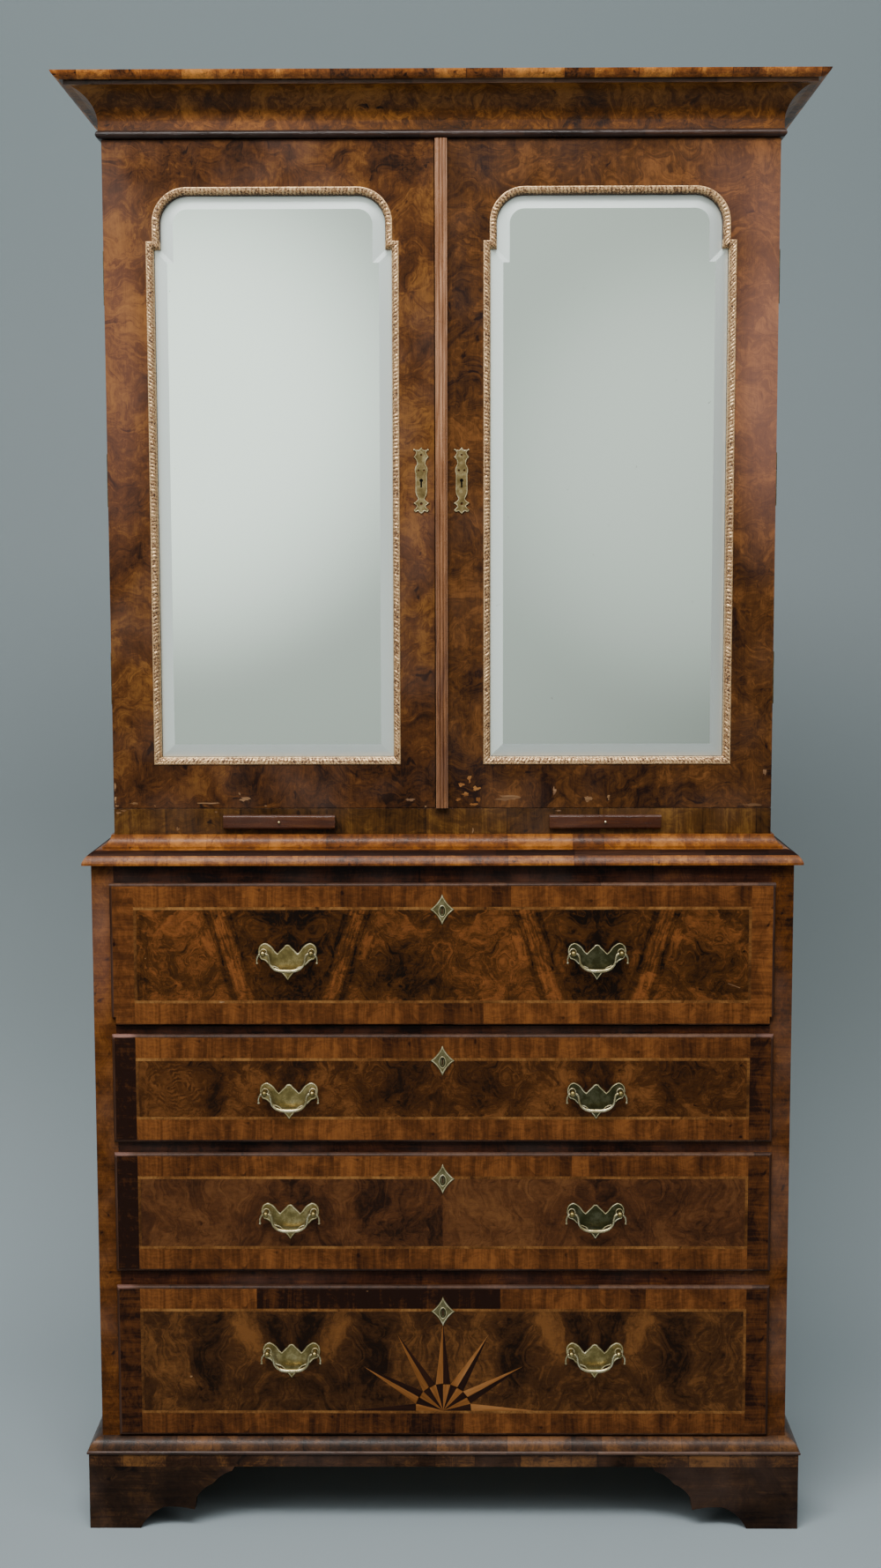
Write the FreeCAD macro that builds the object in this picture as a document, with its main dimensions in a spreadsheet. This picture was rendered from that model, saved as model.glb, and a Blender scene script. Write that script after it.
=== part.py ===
import FreeCAD, Part
import Sketcher
import math
import os
from FreeCAD import Placement, Rotation, Vector

# Secretary bookcase: a chest of drawers whose top drawer opens as a writing desk, under a
# cupboard with two mirrored doors. Millimetres, +Z up, front facing -Y, origin on the floor
# under the middle of the overall box.

SIZES = {
    # Overall planes
    "lower_width": 1020, "lower_depth": 400, "upper_inset": 30,
    # Heights from the floor upwards
    "foot_height": 96, "plinth_height": 18.5, "bottom_rail_height": 30.5,
    "bottom_opening_height": 219, "lower_rail_height": 33.5, "middle_opening_height": 168,
    "middle_rail_height": 27.5, "upper_opening_height": 150, "upper_rail_height": 17,
    "desk_opening_height": 206.5, "top_rail_height": 32.2, "waist_height": 40.6,
    "slide_rail_height": 37.7, "door_height": 950, "cornice_height": 81,
    # Boards of both cases
    "side_board": 20, "case_board": 18, "back_board": 12, "back_board_gap": 0.6,
    "stile_width": 32, "stile_depth": 20, "rail_depth": 40,
    "runner_width": 42, "runner_height": 16, "guide_height": 26,
    # Base
    "plinth_projection": 18, "plinth_width": 70, "base_bead_height": 5.5,
    "base_moulding_height": 22.5, "base_moulding_top": 3, "bracket_length": 217,
    "side_bracket_length": 200, "bracket_board": 20, "block_size": 42, "block_clearance": 3,
    "rear_bracket_length": 120,
    # Waist moulding
    "waist_projection": 12, "waist_lip_height": 3, "waist_step_height": 21.3,
    "waist_step_inset": 26.3, "waist_upper_inset": 38,
    # Cornice, projections measured from the upper case
    "cornice_projection": 60, "bead_height": 11, "bead_projection": 7.5, "frieze_height": 13,
    "frieze_projection": 4, "cove_height": 41, "cove_projection": 35, "fillet_projection": 44,
    "fillet_height": 5.5, "crown_projection": 49, "roof_recess": 6,
    # Candle slides
    "slide_place": 238, "slide_board_width": 150, "slide_board": 10, "slide_length": 190,
    "slide_front_width": 163, "slide_front_height": 20.4, "slide_front_proud": 7,
    "slide_front_edge": 3.5, "slide_clearance": 1.2, "slide_low": 8,
    "bearer_width": 26, "bearer_overlap": 12,
    # Shelves
    "shelf_board": 18, "shelf_setback": 22, "cleat_width": 14, "cleat_height": 18,
    # Doors
    "door_thickness": 24, "door_gap": 1, "door_stile": 60, "meeting_half": 60,
    "bottom_rail": 63.5, "top_rail": 65, "shoulder_height": 75, "shoulder_step": 9,
    "arch_radius": 50, "slip_width": 10.8, "slip_proud": 3, "slip_edge": 2.5,
    "slip_step_depth": 5, "mirror_thickness": 4, "mirror_bevel": 18, "mirror_bevel_depth": 1.5,
    "pane_clearance": 0.3, "door_backboard": 8, "meeting_gap": 1.5, "astragal_width": 17,
    "astragal_proud": 8, "reed_land": 1.4, "door_lock_width": 44, "door_lock_height": 70,
    "door_lock_depth": 10,
    # Door hinges
    "hinge_height": 76, "hinge_end_distance": 150, "barrel_radius": 2.4, "barrel_offset": 2.6,
    "hinge_pin_radius": 1.1, "running_clearance": 0.05, "leaf_width": 18, "leaf_thickness": 1.8,
    "leaf_gap": 0.2, "knuckle_gap": 0.4,
    # Drawers
    "lip_overlap": 5.5, "lip_proud": 7, "lip_round": 4, "drawer_clearance": 1,
    "drawer_front": 20, "drawer_side": 10, "drawer_bottom": 8, "drawer_back_gap": 16,
    "drawer_side_drop": 14, "bottom_rise": 6,
    # Secretaire drawer, fall and gallery
    "fall_thickness": 20, "fall_lip_start": 4, "fall_lip_gap": 0.2, "desk_side": 12, "desk_bed": 14,
    "desk_front_gap": 0.5, "desk_side_drop": 8, "gallery_depth": 165, "gallery_height": 166,
    "gallery_board": 7, "gallery_side_gap": 1, "small_drawer_height": 62,
    "small_drawer_clearance": 0.8, "small_drawer_wall": 6, "small_drawer_front": 9,
    "knob_radius": 6, "knob_neck_radius": 2.5, "knob_length": 13,
    "knuckle_width": 30, "knuckle_radius": 6, "knuckle_slot_clearance": 0.5,
    "knuckle_arm": 5, "fall_pin_radius": 2.5, "fall_pin_length": 70, "fall_hinge_place": 330,
    "stay_drop": 66.5, "stay_width": 8, "stay_thickness": 3, "stay_side_gap": 0.5,
    "stay_foot_height": 30, "stay_foot_width": 16, "stay_foot_thickness": 2,
    # Brasses
    "handle_place": 225, "post_place": 35, "plate_thickness": 1.5, "post_radius": 2.4,
    "ball_radius": 4.6, "post_length": 12, "wire_radius": 1.85, "pin_half": 4.4,
    "tail_turn_radius": 3.5, "tail_length": 4, "neck_turn_radius": 4.5,
    "bail_drop": 25, "bail_turn_radius": 14,
    "escutcheon_width": 35, "escutcheon_height": 45, "escutcheon_drop": 38,
    "keyhole_radius": 2.6, "keyhole_slot": 2.4, "keyhole_height": 10,
    "drawer_lock_width": 56, "drawer_lock_height": 34, "drawer_lock_depth": 9,
    "door_plate_height": 95, "door_plate_width": 23.7, "door_plate_place": 29,
    "keyhole_rise": 473,
}
QUARTER_TURN = 90
HALF_TURN = 180

doc = FreeCAD.newDocument("secretary_bookcase")
sheet = doc.addObject("Spreadsheet::Sheet", "Sizes")
for row, (alias, number) in enumerate(SIZES.items(), start=1):
    sheet.set("A%d" % row, alias)
    sheet.set("B%d" % row, str(number))
    sheet.setAlias("B%d" % row, alias)
doc.recompute()


class Size:
    """A length in millimetres together with the sheet expression that gives it."""

    def __init__(self, text, mm):
        self.text = text
        self.mm = float(mm)

    def __add__(self, other):
        return Size("(%s + %s)" % (self.text, text_of(other)), self.mm + mm_of(other))

    def __sub__(self, other):
        return Size("(%s - %s)" % (self.text, text_of(other)), self.mm - mm_of(other))

    def __rsub__(self, other):
        return Size("(%s - %s)" % (text_of(other), self.text), mm_of(other) - self.mm)

    def __mul__(self, factor):
        return Size("(%s * %s)" % (self.text, text_of(factor)), self.mm * mm_of(factor))

    def __truediv__(self, factor):
        return Size("(%s / %s)" % (self.text, text_of(factor)), self.mm / mm_of(factor))

    def __neg__(self):
        return Size("(-1 * %s)" % self.text, -self.mm)

    __radd__ = __add__
    __rmul__ = __mul__


def text_of(value):
    """The expression text of a size or of a plain number."""
    return value.text if isinstance(value, Size) else "%.9g" % value


def mm_of(value):
    """The millimetres of a size or a plain number."""
    return value.mm if isinstance(value, Size) else float(value)


class Sheet:
    """Reads a cell of the sheet as a Size, by its alias."""

    def __getattr__(self, alias):
        return Size("Sizes." + alias, SIZES[alias])


d = Sheet()
nodes = []


def bind(thing, **sizes):
    """Ties properties of an object to the sheet."""
    for name, value in sizes.items():
        thing.setExpression(name, text_of(value))


def place(thing, x, y, z, rotation=None):
    """Puts an object at a point that follows the sheet."""
    thing.Placement = Placement(Vector(mm_of(x), mm_of(y), mm_of(z)), rotation or Rotation())
    for axis, value in (("x", x), ("y", y), ("z", z)):
        if isinstance(value, Size):
            thing.setExpression("Placement.Base." + axis, value.text)


def box(name, x, y, z):
    """A block between two corners, each of x, y and z given as (low, high)."""
    block = doc.addObject("Part::Box", name)
    bind(block, Length=x[1] - x[0], Width=y[1] - y[0], Height=z[1] - z[0])
    place(block, x[0], y[0], z[0])
    return block


AXIS_ROTATIONS = {
    "x": Rotation(Vector(0, 1, 0), QUARTER_TURN),
    "y": Rotation(Vector(1, 0, 0), -QUARTER_TURN),
    "z": Rotation(),
}


def rod(name, axis, radius, length, x, y, z):
    """A cylinder that starts at a point and runs along the positive axis."""
    cylinder = doc.addObject("Part::Cylinder", name)
    bind(cylinder, Radius=radius, Height=length)
    place(cylinder, x, y, z, AXIS_ROTATIONS[axis])
    return cylinder


def ball(name, radius, x, y, z):
    """A sphere about a point."""
    sphere = doc.addObject("Part::Sphere", name)
    bind(sphere, Radius=radius)
    place(sphere, x, y, z)
    return sphere


# A sketch's own two directions lie along X and Z, Y and Z, or X and Y
PLANES = {
    "front": Rotation(Vector(1, 0, 0), QUARTER_TURN),
    "side": Rotation(Vector(1, 1, 1), 120),
    "plan": Rotation(),
}
NORMALS = {"front": Vector(0, 1, 0), "side": Vector(1, 0, 0), "plan": Vector(0, 0, 1)}


def put_on_plane(thing, plane, level):
    """Places a sketch on one of the three planes, at a level along its normal."""
    spot = {"front": (0, level, 0), "side": (level, 0, 0), "plan": (0, 0, level)}[plane]
    place(thing, spot[0], spot[1], spot[2], PLANES[plane])


def arc_centre(start, end, turn):
    """The centre of the arc that goes from start to end while it turns by so many degrees."""
    middle = (start + end) * 0.5
    chord = end - start
    left = Vector(-chord.y, chord.x, 0)
    return middle + left * (0.5 / math.tan(math.radians(turn) / 2))


def add_run(drawing, start, end, turn):
    """Adds the line or arc between two corners; gives its index and its two end numbers."""
    if not turn:
        index = drawing.addGeometry(Part.LineSegment(start, end), False)
        return index, 1, 2
    centre = arc_centre(start, end, turn)
    circle = Part.Circle(centre, Vector(0, 0, 1), (start - centre).Length)
    first, last = (start, end) if turn > 0 else (end, start)
    begin = math.atan2(first.y - centre.y, first.x - centre.x)
    finish = math.atan2(last.y - centre.y, last.x - centre.x)
    index = drawing.addGeometry(Part.ArcOfCircle(circle, begin, finish), False)
    drawing.addConstraint(Sketcher.Constraint("Angle", index, math.radians(abs(turn))))
    return (index, 1, 2) if turn > 0 else (index, 2, 1)


def fix_corner(drawing, index, end, corner):
    """Holds one corner of a sketch at its two sizes."""
    for kind, value in (("DistanceX", corner[0]), ("DistanceY", corner[1])):
        datum = drawing.addConstraint(Sketcher.Constraint(kind, -1, 1, index, end, mm_of(value)))
        if isinstance(value, Size):
            drawing.setExpression("Constraints[%d]" % datum, value.text)


def sketch(name, plane, level, corners, closed=True):
    """A sketch through corners (a, b) or (a, b, turn), where turn bends the run that arrives."""
    drawing = doc.addObject("Sketcher::SketchObject", name)
    put_on_plane(drawing, plane, level)
    fill_sketch(drawing, corners, closed)
    return drawing


def fill_sketch(drawing, corners, closed=True):
    """Draws the runs between corners and ties every corner to the sheet."""
    points = [Vector(mm_of(corner[0]), mm_of(corner[1]), 0) for corner in corners]
    turns = [corner[2] if len(corner) > 2 else 0 for corner in corners]
    ends = list(range(len(corners))) if closed else list(range(1, len(corners)))
    runs = [add_run(drawing, points[end - 1], points[end], turns[end]) for end in ends]
    for place_in_list, (index, first, last) in enumerate(runs):
        fix_corner(drawing, index, last, corners[ends[place_in_list]])
        if closed or place_in_list:
            before = runs[place_in_list - 1]
            joined = Sketcher.Constraint("Coincident", before[0], before[2], index, first)
            drawing.addConstraint(joined)
    if not closed:
        fix_corner(drawing, runs[0][0], runs[0][1], corners[0])


def prism(name, plane, low, high, corners):
    """A solid with the given outline between two levels along the plane's normal."""
    solid = doc.addObject("Part::Extrusion", name)
    solid.Base = sketch(name + "_outline", plane, low, corners)
    solid.DirMode = "Custom"
    solid.Dir = NORMALS[plane]
    solid.Solid = True
    bind(solid, LengthFwd=high - low)
    return solid


def rectangle(a, b):
    """The four corners of a rectangle, a and b given as (low, high)."""
    return [(a[0], b[0]), (a[1], b[0]), (a[1], b[1]), (a[0], b[1])]


def cut(name, base, tools):
    """A solid with one or more tools taken away."""
    result = doc.addObject("Part::Cut", name)
    result.Base = base
    result.Tool = tools[0] if len(tools) == 1 else fuse(name + "_tools", tools)
    return result


def fuse(name, solids):
    """Several solids made into one."""
    result = doc.addObject("Part::MultiFuse", name)
    result.Shapes = solids
    result.Refine = True
    return result


def common(name, first, second):
    """What two solids share."""
    result = doc.addObject("Part::Common", name)
    result.Base = first
    result.Tool = second
    return result


def node(label, solids):
    """Names one separate piece, or a set of like pieces kept as separate solids."""
    if len(solids) == 1:
        piece = solids[0]
    else:
        piece = doc.addObject("Part::Compound", "set_" + label)
        piece.Links = solids
    piece.Label = label
    nodes.append(piece)
    return piece


def mirrored(side, pair):
    """A (low, high) pair on the right, or its mirror image when side is -1."""
    return pair if side > 0 else (-pair[1], -pair[0])


def span(low, size):
    """The (low, high) pair that starts at low and is size long."""
    return (low, low + size)


SIDES = (("left", -1), ("right", 1))

# Planes and levels that several pieces share
upper_depth = d.lower_depth - d.upper_inset
back = (upper_depth + d.cornice_projection) / 2
lower_front = back - d.lower_depth
upper_front = back - upper_depth
lower_half = d.lower_width / 2
upper_half = lower_half - d.upper_inset
plinth_top = d.foot_height + d.plinth_height
bottom_opening = plinth_top + d.bottom_rail_height
lower_rail = bottom_opening + d.bottom_opening_height
middle_opening = lower_rail + d.lower_rail_height
middle_rail = middle_opening + d.middle_opening_height
upper_opening = middle_rail + d.middle_rail_height
upper_rail = upper_opening + d.upper_opening_height
desk_opening = upper_rail + d.upper_rail_height
top_rail = desk_opening + d.desk_opening_height
waist_low = top_rail + d.top_rail_height
waist_top = waist_low + d.waist_height
door_low = waist_top + d.slide_rail_height + d.door_gap
door_top = door_low + d.door_height
cornice_low = door_top + d.door_gap
crown = cornice_low + d.cornice_height
opening_half = lower_half - d.stile_width
lower_inside = lower_half - d.side_board
upper_inside = upper_half - d.side_board
inner_back = back - d.back_board
case_front = upper_front + d.door_thickness + d.door_gap
RAIL_LEVELS = (
    (plinth_top, d.bottom_rail_height), (lower_rail, d.lower_rail_height),
    (middle_rail, d.middle_rail_height), (upper_rail, d.upper_rail_height),
    (top_rail, d.top_rail_height),
)


# Lower case

def lower_sides():
    """The two upright sides of the chest."""
    panels = []
    for name, side in SIDES:
        x = mirrored(side, (lower_inside, lower_half))
        y = (lower_front + d.stile_depth, back)
        panels.append(box(name + "_lower_side", x, y, (plinth_top, waist_low)))
    node("lower_side_panels", panels)


def lower_boards():
    """The chest's bottom board and top board, between the sides."""
    x = (-lower_inside, lower_inside)
    y = (lower_front + d.rail_depth, inner_back)
    bottom = box("chest_bottom", x, y, (bottom_opening - d.case_board, bottom_opening))
    top = box("chest_top", x, y, (waist_low - d.case_board, waist_low))
    node("lower_carcase_boards", [bottom, top])


def front_rails():
    """Two stiles on the front edges of the sides and the five rails between them."""
    members = []
    for name, side in SIDES:
        x = mirrored(side, (opening_half, lower_half))
        members.append(box(name + "_stile", x, span(lower_front, d.stile_depth), (plinth_top, waist_low)))
    for level, height in RAIL_LEVELS:
        x = (-opening_half, opening_half)
        members.append(box("rail", x, span(lower_front, d.rail_depth), span(level, height)))
    node("front_rails", members)


def drawer_runners():
    """Runners behind the rails with the guides that keep each drawer straight."""
    strips = []
    y = (lower_front + d.rail_depth, inner_back)
    for level in (bottom_opening, middle_opening, upper_opening, desk_opening):
        for name, side in SIDES:
            if level is not bottom_opening:
                x = mirrored(side, (lower_inside - d.runner_width, lower_inside))
                strips.append(box(name + "_runner", x, y, (level - d.runner_height, level)))
            x = mirrored(side, (opening_half, lower_inside))
            strips.append(box(name + "_guide", x, y, span(level, d.guide_height)))
    node("drawer_runners", strips)


BACK_BOARD_COUNT = 6


def back_boards(label, half, low, high):
    """Upright boards side by side that close the back of a case."""
    boards = []
    width = (2 * half - (BACK_BOARD_COUNT - 1) * d.back_board_gap) / BACK_BOARD_COUNT
    for number in range(BACK_BOARD_COUNT):
        left = -half + number * (width + d.back_board_gap)
        boards.append(box("back_board", span(left, width), (inner_back, back), (low, high)))
    node(label, boards)


def mitred_run(name, side, half, front, inset, reach, profile):
    """One run of a moulding round a case; side 0 is the front, -1 and 1 are the returns."""
    far = half + reach
    near = half - inset
    if side == 0:
        bar = prism(name + "_bar", "side", -far, far, profile(front, -1, inset))
        plan = [(-far, front - reach), (far, front - reach), (near, front + inset),
                (-near, front + inset)]
    else:
        bar = prism(name + "_bar", "front", front - reach, back, profile(side * half, side, inset))
        plan = [(side * far, front - reach), (side * far, back), (side * near, back),
                (side * near, front + inset)]
    corner = prism(name + "_plan", "plan", d.foot_height, crown, plan)
    return common(name, bar, corner)


def moulding(label, half, front, inset, reach, profile):
    """A moulding round the front and both sides, mitred at the corners."""
    runs = []
    for name, side in (("front", 0),) + SIDES:
        runs.append(mitred_run(label + "_" + name, side, half, front, inset, reach, profile))
    node(label, runs)


def outward(base, direction, steps):
    """Turns (projection, height) steps into corners that stand out from a plane."""
    corners = []
    for step in steps:
        turn = step[2] * direction if len(step) > 2 else 0
        corners.append((base + direction * step[0], step[1], turn))
    return corners


OVOLO_TURN = 70
CAVETTO_TURN = 60


def waist_profile(base, direction, inset):
    """Lip, ovolo, fillet and cavetto, up to the foot of the upper case."""
    step_top = waist_low + d.waist_step_height
    step_edge = d.waist_projection - d.waist_step_inset
    upper_edge = d.waist_projection - d.waist_upper_inset
    fillet = step_top + d.waist_lip_height
    steps = [
        (-inset, waist_low), (d.waist_projection, waist_low),
        (d.waist_projection, waist_low + d.waist_lip_height),
        (step_edge, step_top, OVOLO_TURN), (step_edge, fillet),
        (upper_edge, waist_top, -CAVETTO_TURN), (-inset, waist_top),
    ]
    return outward(base, direction, steps)


def waist_moulding():
    """The moulding on the chest's top edge, into which the upper case drops."""
    moulding("waist_moulding", lower_half, lower_front, d.upper_inset, d.waist_projection,
             waist_profile)


def base_profile(base, direction, inset):
    """Bead and ovolo that hide the joint between chest and plinth."""
    bead_top = plinth_top + d.base_bead_height
    steps = [
        (-inset, plinth_top), (d.plinth_projection, plinth_top),
        (d.plinth_projection, bead_top, HALF_TURN),
        (d.base_moulding_top, plinth_top + d.base_moulding_height, OVOLO_TURN),
        (-inset, plinth_top + d.base_moulding_height),
    ]
    return outward(base, direction, steps)


def base_moulding():
    """The moulding planted round the foot of the chest."""
    reach = d.plinth_projection + d.base_bead_height / 2
    moulding("base_moulding", lower_half, lower_front, 0, reach, base_profile)


def plinth_frame():
    """The flat frame under the chest that carries the feet."""
    half = lower_half + d.plinth_projection
    front = lower_front - d.plinth_projection
    z = (d.foot_height, plinth_top)
    members = [box("plinth_front", (-half, half), span(front, d.plinth_width), z)]
    for name, side in SIDES:
        x = mirrored(side, (half - d.plinth_width, half))
        members.append(box(name + "_plinth_side", x, (front + d.plinth_width, back), z))
    x = (-half + d.plinth_width, half - d.plinth_width)
    members.append(box("plinth_back", x, (back - d.plinth_width, back), z))
    node("plinth_frame", members)


# Outline of one bracket, as shares of its length and height, with the turn of each arc
BRACKET_SHARES = (
    (0.0, 0.0, 0), (0.35, 0.0, 0), (0.512, 0.344, -46), (0.724, 0.302, -20), (0.737, 0.5, 0),
    (0.848, 0.72, -40), (0.857, 0.74, 0), (0.982, 0.93, -38), (1.0, 1.0, 0), (0.0, 1.0, 0),
)


def bracket_corners(origin, direction, length):
    """The outline of a shaped bracket that starts at origin and runs in a direction."""
    corners = []
    for along, up, turn in BRACKET_SHARES:
        spot = origin + direction * along * length
        corners.append((spot, up * d.foot_height, turn * direction))
    return corners


def bracket_feet():
    """Four bracket feet: mitred front pairs, side brackets behind, plain boards and blocks."""
    pieces = []
    half = lower_half + d.plinth_projection
    front = lower_front - d.plinth_projection
    inner = front + d.bracket_board
    length = d.side_bracket_length
    for name, side in SIDES:
        x_out = side * half
        x_in = side * (half - d.bracket_board)
        corners = bracket_corners(x_out, -side, d.bracket_length)
        face = prism(name + "_front_bracket", "front", front, inner, corners)
        plan = [(x_out, front), (x_out - side * d.bracket_length, front),
                (x_out - side * d.bracket_length, inner), (x_in, inner)]
        mitre = prism(name + "_front_mitre", "plan", 0, d.foot_height, plan)
        pieces.append(common(name + "_front_foot", face, mitre))
        x = mirrored(side, (half - d.bracket_board, half))
        flank = prism(name + "_side_bracket", "side", x[0], x[1], bracket_corners(front, 1, length))
        plan = [(x_out, front), (x_out, front + length), (x_in, front + length), (x_in, inner)]
        mitre = prism(name + "_side_mitre", "plan", 0, d.foot_height, plan)
        pieces.append(common(name + "_side_foot", flank, mitre))
        pieces.append(prism(name + "_rear_foot", "side", x[0], x[1], bracket_corners(back, -1, length)))
        x = mirrored(side, (half - d.bracket_board - d.rear_bracket_length, half - d.bracket_board))
        y = (back - d.bracket_board, back)
        pieces.append(box(name + "_rear_board", x, y, (0, d.foot_height)))
        x = mirrored(side, (half - d.bracket_board - d.block_size, half - d.bracket_board))
        z = (d.block_clearance, d.foot_height)
        pieces.append(box(name + "_front_block", x, span(inner, d.block_size), z))
        y = (back - d.bracket_board - d.block_size, back - d.bracket_board)
        pieces.append(box(name + "_rear_block", x, y, z))
    node("bracket_feet", pieces)


# Upper case

slide_middle = waist_top + d.slide_low + d.slide_front_height / 2
slide_low = slide_middle - d.slide_board / 2
cupboard_floor = slide_low + d.slide_board + d.slide_clearance + d.case_board


def upper_sides():
    """The two sides of the cupboard, housed for the hinge leaves on their front edges."""
    panels = []
    for name, side in SIDES:
        x = mirrored(side, (upper_inside, upper_half))
        panel = box(name + "_side_board", x, (case_front, back), (waist_low, crown - d.roof_recess))
        tools = [leaf_recess(name, side, level, 1) for level in hinge_levels()]
        panels.append(cut(name + "_upper_side", panel, tools))
    node("upper_side_panels", panels)


def upper_boards():
    """Floor, ceiling and roof of the cupboard."""
    x = (-upper_inside, upper_inside)
    y = (case_front, inner_back)
    ceiling = cornice_low - d.case_board
    floor = box("cupboard_floor", x, y, (cupboard_floor - d.case_board, cupboard_floor))
    ceiling_board = box("cupboard_ceiling", x, y, (ceiling, cornice_low))
    roof = box("roof", x, y, (crown - d.roof_recess - d.case_board, crown - d.roof_recess))
    node("upper_carcase_boards", [floor, ceiling_board, roof])


SHELF_COUNT = 3


def shelf_levels():
    """The underside of each shelf, evenly spaced between the cupboard's floor and ceiling."""
    clear = cornice_low - d.case_board - cupboard_floor - SHELF_COUNT * d.shelf_board
    space = clear / (SHELF_COUNT + 1)
    return [cupboard_floor + space + step * (space + d.shelf_board) for step in range(SHELF_COUNT)]


def shelves():
    """Three loose shelves on cleats."""
    boards = []
    cleats = []
    y = (case_front + d.shelf_setback, inner_back)
    for level in shelf_levels():
        x = (-upper_inside, upper_inside)
        boards.append(box("shelf", x, y, span(level, d.shelf_board)))
        for name, side in SIDES:
            x = mirrored(side, (upper_inside - d.cleat_width, upper_inside))
            cleats.append(box(name + "_cleat", x, y, (level - d.cleat_height, level)))
    node("bookshelves", boards)
    node("shelf_cleats", cleats)


COVE_TURN = 64
CROWN_TURN = 50


def cornice_profile(base, direction, inset):
    """Bead, frieze, cove, fillet and crown, from the doors up."""
    bead_top = cornice_low + d.bead_height
    frieze_top = bead_top + d.frieze_height
    cove_top = frieze_top + d.cove_height
    fillet_top = cove_top + d.fillet_height
    bead_root = d.bead_projection - d.bead_height / 2
    steps = [
        (-inset, cornice_low), (bead_root, cornice_low), (bead_root, bead_top, HALF_TURN),
        (d.frieze_projection, bead_top), (d.frieze_projection, frieze_top),
        (d.cove_projection, cove_top, -COVE_TURN), (d.fillet_projection, cove_top),
        (d.fillet_projection, fillet_top), (d.crown_projection, fillet_top),
        (d.cornice_projection, crown, CROWN_TURN), (-inset, crown),
    ]
    return outward(base, direction, steps)


def cornice():
    """The coved cornice; its front run is thicker, and meets the case behind the doors."""
    depth = d.door_thickness + d.door_gap
    far = upper_half + d.cornice_projection
    bar = prism("cornice_front_bar", "side", -far, far, cornice_profile(upper_front, -1, depth))
    plan = [(-far, upper_front - d.cornice_projection), (far, upper_front - d.cornice_projection),
            (upper_half, upper_front), (upper_half, upper_front + depth),
            (-upper_half, upper_front + depth), (-upper_half, upper_front)]
    corner = prism("cornice_front_plan", "plan", d.foot_height, crown, plan)
    runs = [common("cornice_front", bar, corner)]
    for name, side in SIDES:
        runs.append(mitred_run("cornice_" + name, side, upper_half, upper_front, 0,
                               d.cornice_projection, cornice_profile))
    node("cornice", runs)


def candle_slide_rail():
    """The rail under the doors, slotted for the candle slides, and the bearers behind it."""
    z = (waist_low, door_low - d.door_gap)
    board = box("slide_rail_board", (-upper_half, upper_half), (upper_front, case_front), z)
    slots = []
    bearers = []
    for name, side in SIDES:
        half = d.slide_board_width / 2
        gap = d.slide_clearance
        middle = side * d.slide_place
        x = (middle - half - gap, middle + half + gap)
        z = (slide_low - gap, slide_low + d.slide_board + gap)
        slots.append(box(name + "_slot", x, (upper_front, case_front), z))
        for edge in (-1, 1):
            inner = middle + edge * (half - d.bearer_overlap)
            x = mirrored(edge, (edge * inner, edge * inner + d.bearer_width))
            y = span(case_front, d.slide_length)
            bearers.append(box(name + "_bearer", x, y, (waist_low, slide_low - gap)))
    node("candle_slide_rail", [cut("slotted_rail", board, slots)] + bearers)


def candle_slide(name, side):
    """A candle slide: a thin board with a moulded front that covers its slot."""
    middle = side * d.slide_place
    half = d.slide_board_width / 2
    y_front = upper_front - d.door_gap / 2
    x = (middle - half, middle + half)
    board = box(name + "_slide_board", x, span(y_front, d.slide_length), span(slide_low, d.slide_board))
    low = slide_middle - d.slide_front_height / 2
    high = slide_middle + d.slide_front_height / 2
    proud = y_front - d.slide_front_proud
    edge = d.slide_front_edge
    profile = [(y_front, low), (y_front, high), (y_front - edge, high),
               (proud, high - edge, QUARTER_TURN), (proud, low + edge), (y_front - edge, low, QUARTER_TURN)]
    half = d.slide_front_width / 2
    front = prism(name + "_slide_front", "side", middle - half, middle + half, profile)
    node(name + "_candle_slide", [board, front])


# Doors

pane_outer = upper_half - d.door_stile
pane_low = door_low + d.bottom_rail
pane_top = door_top - d.top_rail
door_back = upper_front + d.door_thickness
meeting_edge = d.astragal_width / 2
slip_back = door_back - d.door_backboard - d.mirror_thickness + d.mirror_bevel_depth


def pane_outline(side, inset):
    """The shouldered arch of a door's opening, set in by so much all round."""
    inner = d.meeting_half + inset
    outer = pane_outer - inset
    shoulder = pane_top - d.shoulder_height - inset
    spring = pane_top - d.arch_radius
    radius = d.arch_radius - inset
    step = d.shoulder_step
    arch_in = inner + step + radius
    arch_out = outer - step - radius
    right = [
        (inner, pane_low + inset), (outer, pane_low + inset), (outer, shoulder),
        (outer - step, shoulder), (outer - step, spring),
        (arch_out, pane_top - inset, QUARTER_TURN), (arch_in, pane_top - inset),
        (inner + step, spring, QUARTER_TURN), (inner + step, shoulder), (inner, shoulder),
    ]
    return [(side * a, b, side * (turn[0] if turn else 0)) for a, b, *turn in right]


def meeting_x(side):
    """How far from the middle a door's meeting edge stands, signed along the door's own side."""
    return -meeting_edge if side > 0 else meeting_edge + d.meeting_gap


def door_frame(name, side):
    """Stiles and rails; the top rail carries the shouldered arch."""
    y = (upper_front, door_back)
    z = (door_low, door_top)
    stile = box(name + "_hinge_stile_board", mirrored(side, (pane_outer, upper_half)), y, z)
    recesses = [leaf_recess(name, side, level, -1) for level in hinge_levels()]
    hinge_stile = cut(name + "_hinge_stile", stile, recesses)
    x = mirrored(side, (meeting_x(side), d.meeting_half))
    meeting_stile = box(name + "_meeting_stile", x, y, z)
    x = mirrored(side, (d.meeting_half, pane_outer))
    bottom = box(name + "_bottom_rail", x, y, (door_low, pane_low))
    shoulder = pane_top - d.shoulder_height
    blank = box(name + "_top_rail_board", x, y, (shoulder, door_top))
    arch = prism(name + "_arch", "front", y[0], y[1], pane_outline(side, 0))
    top = cut(name + "_top_rail", blank, [arch])
    node(name + "_door_frame", [hinge_stile, meeting_stile, bottom, top])


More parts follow.
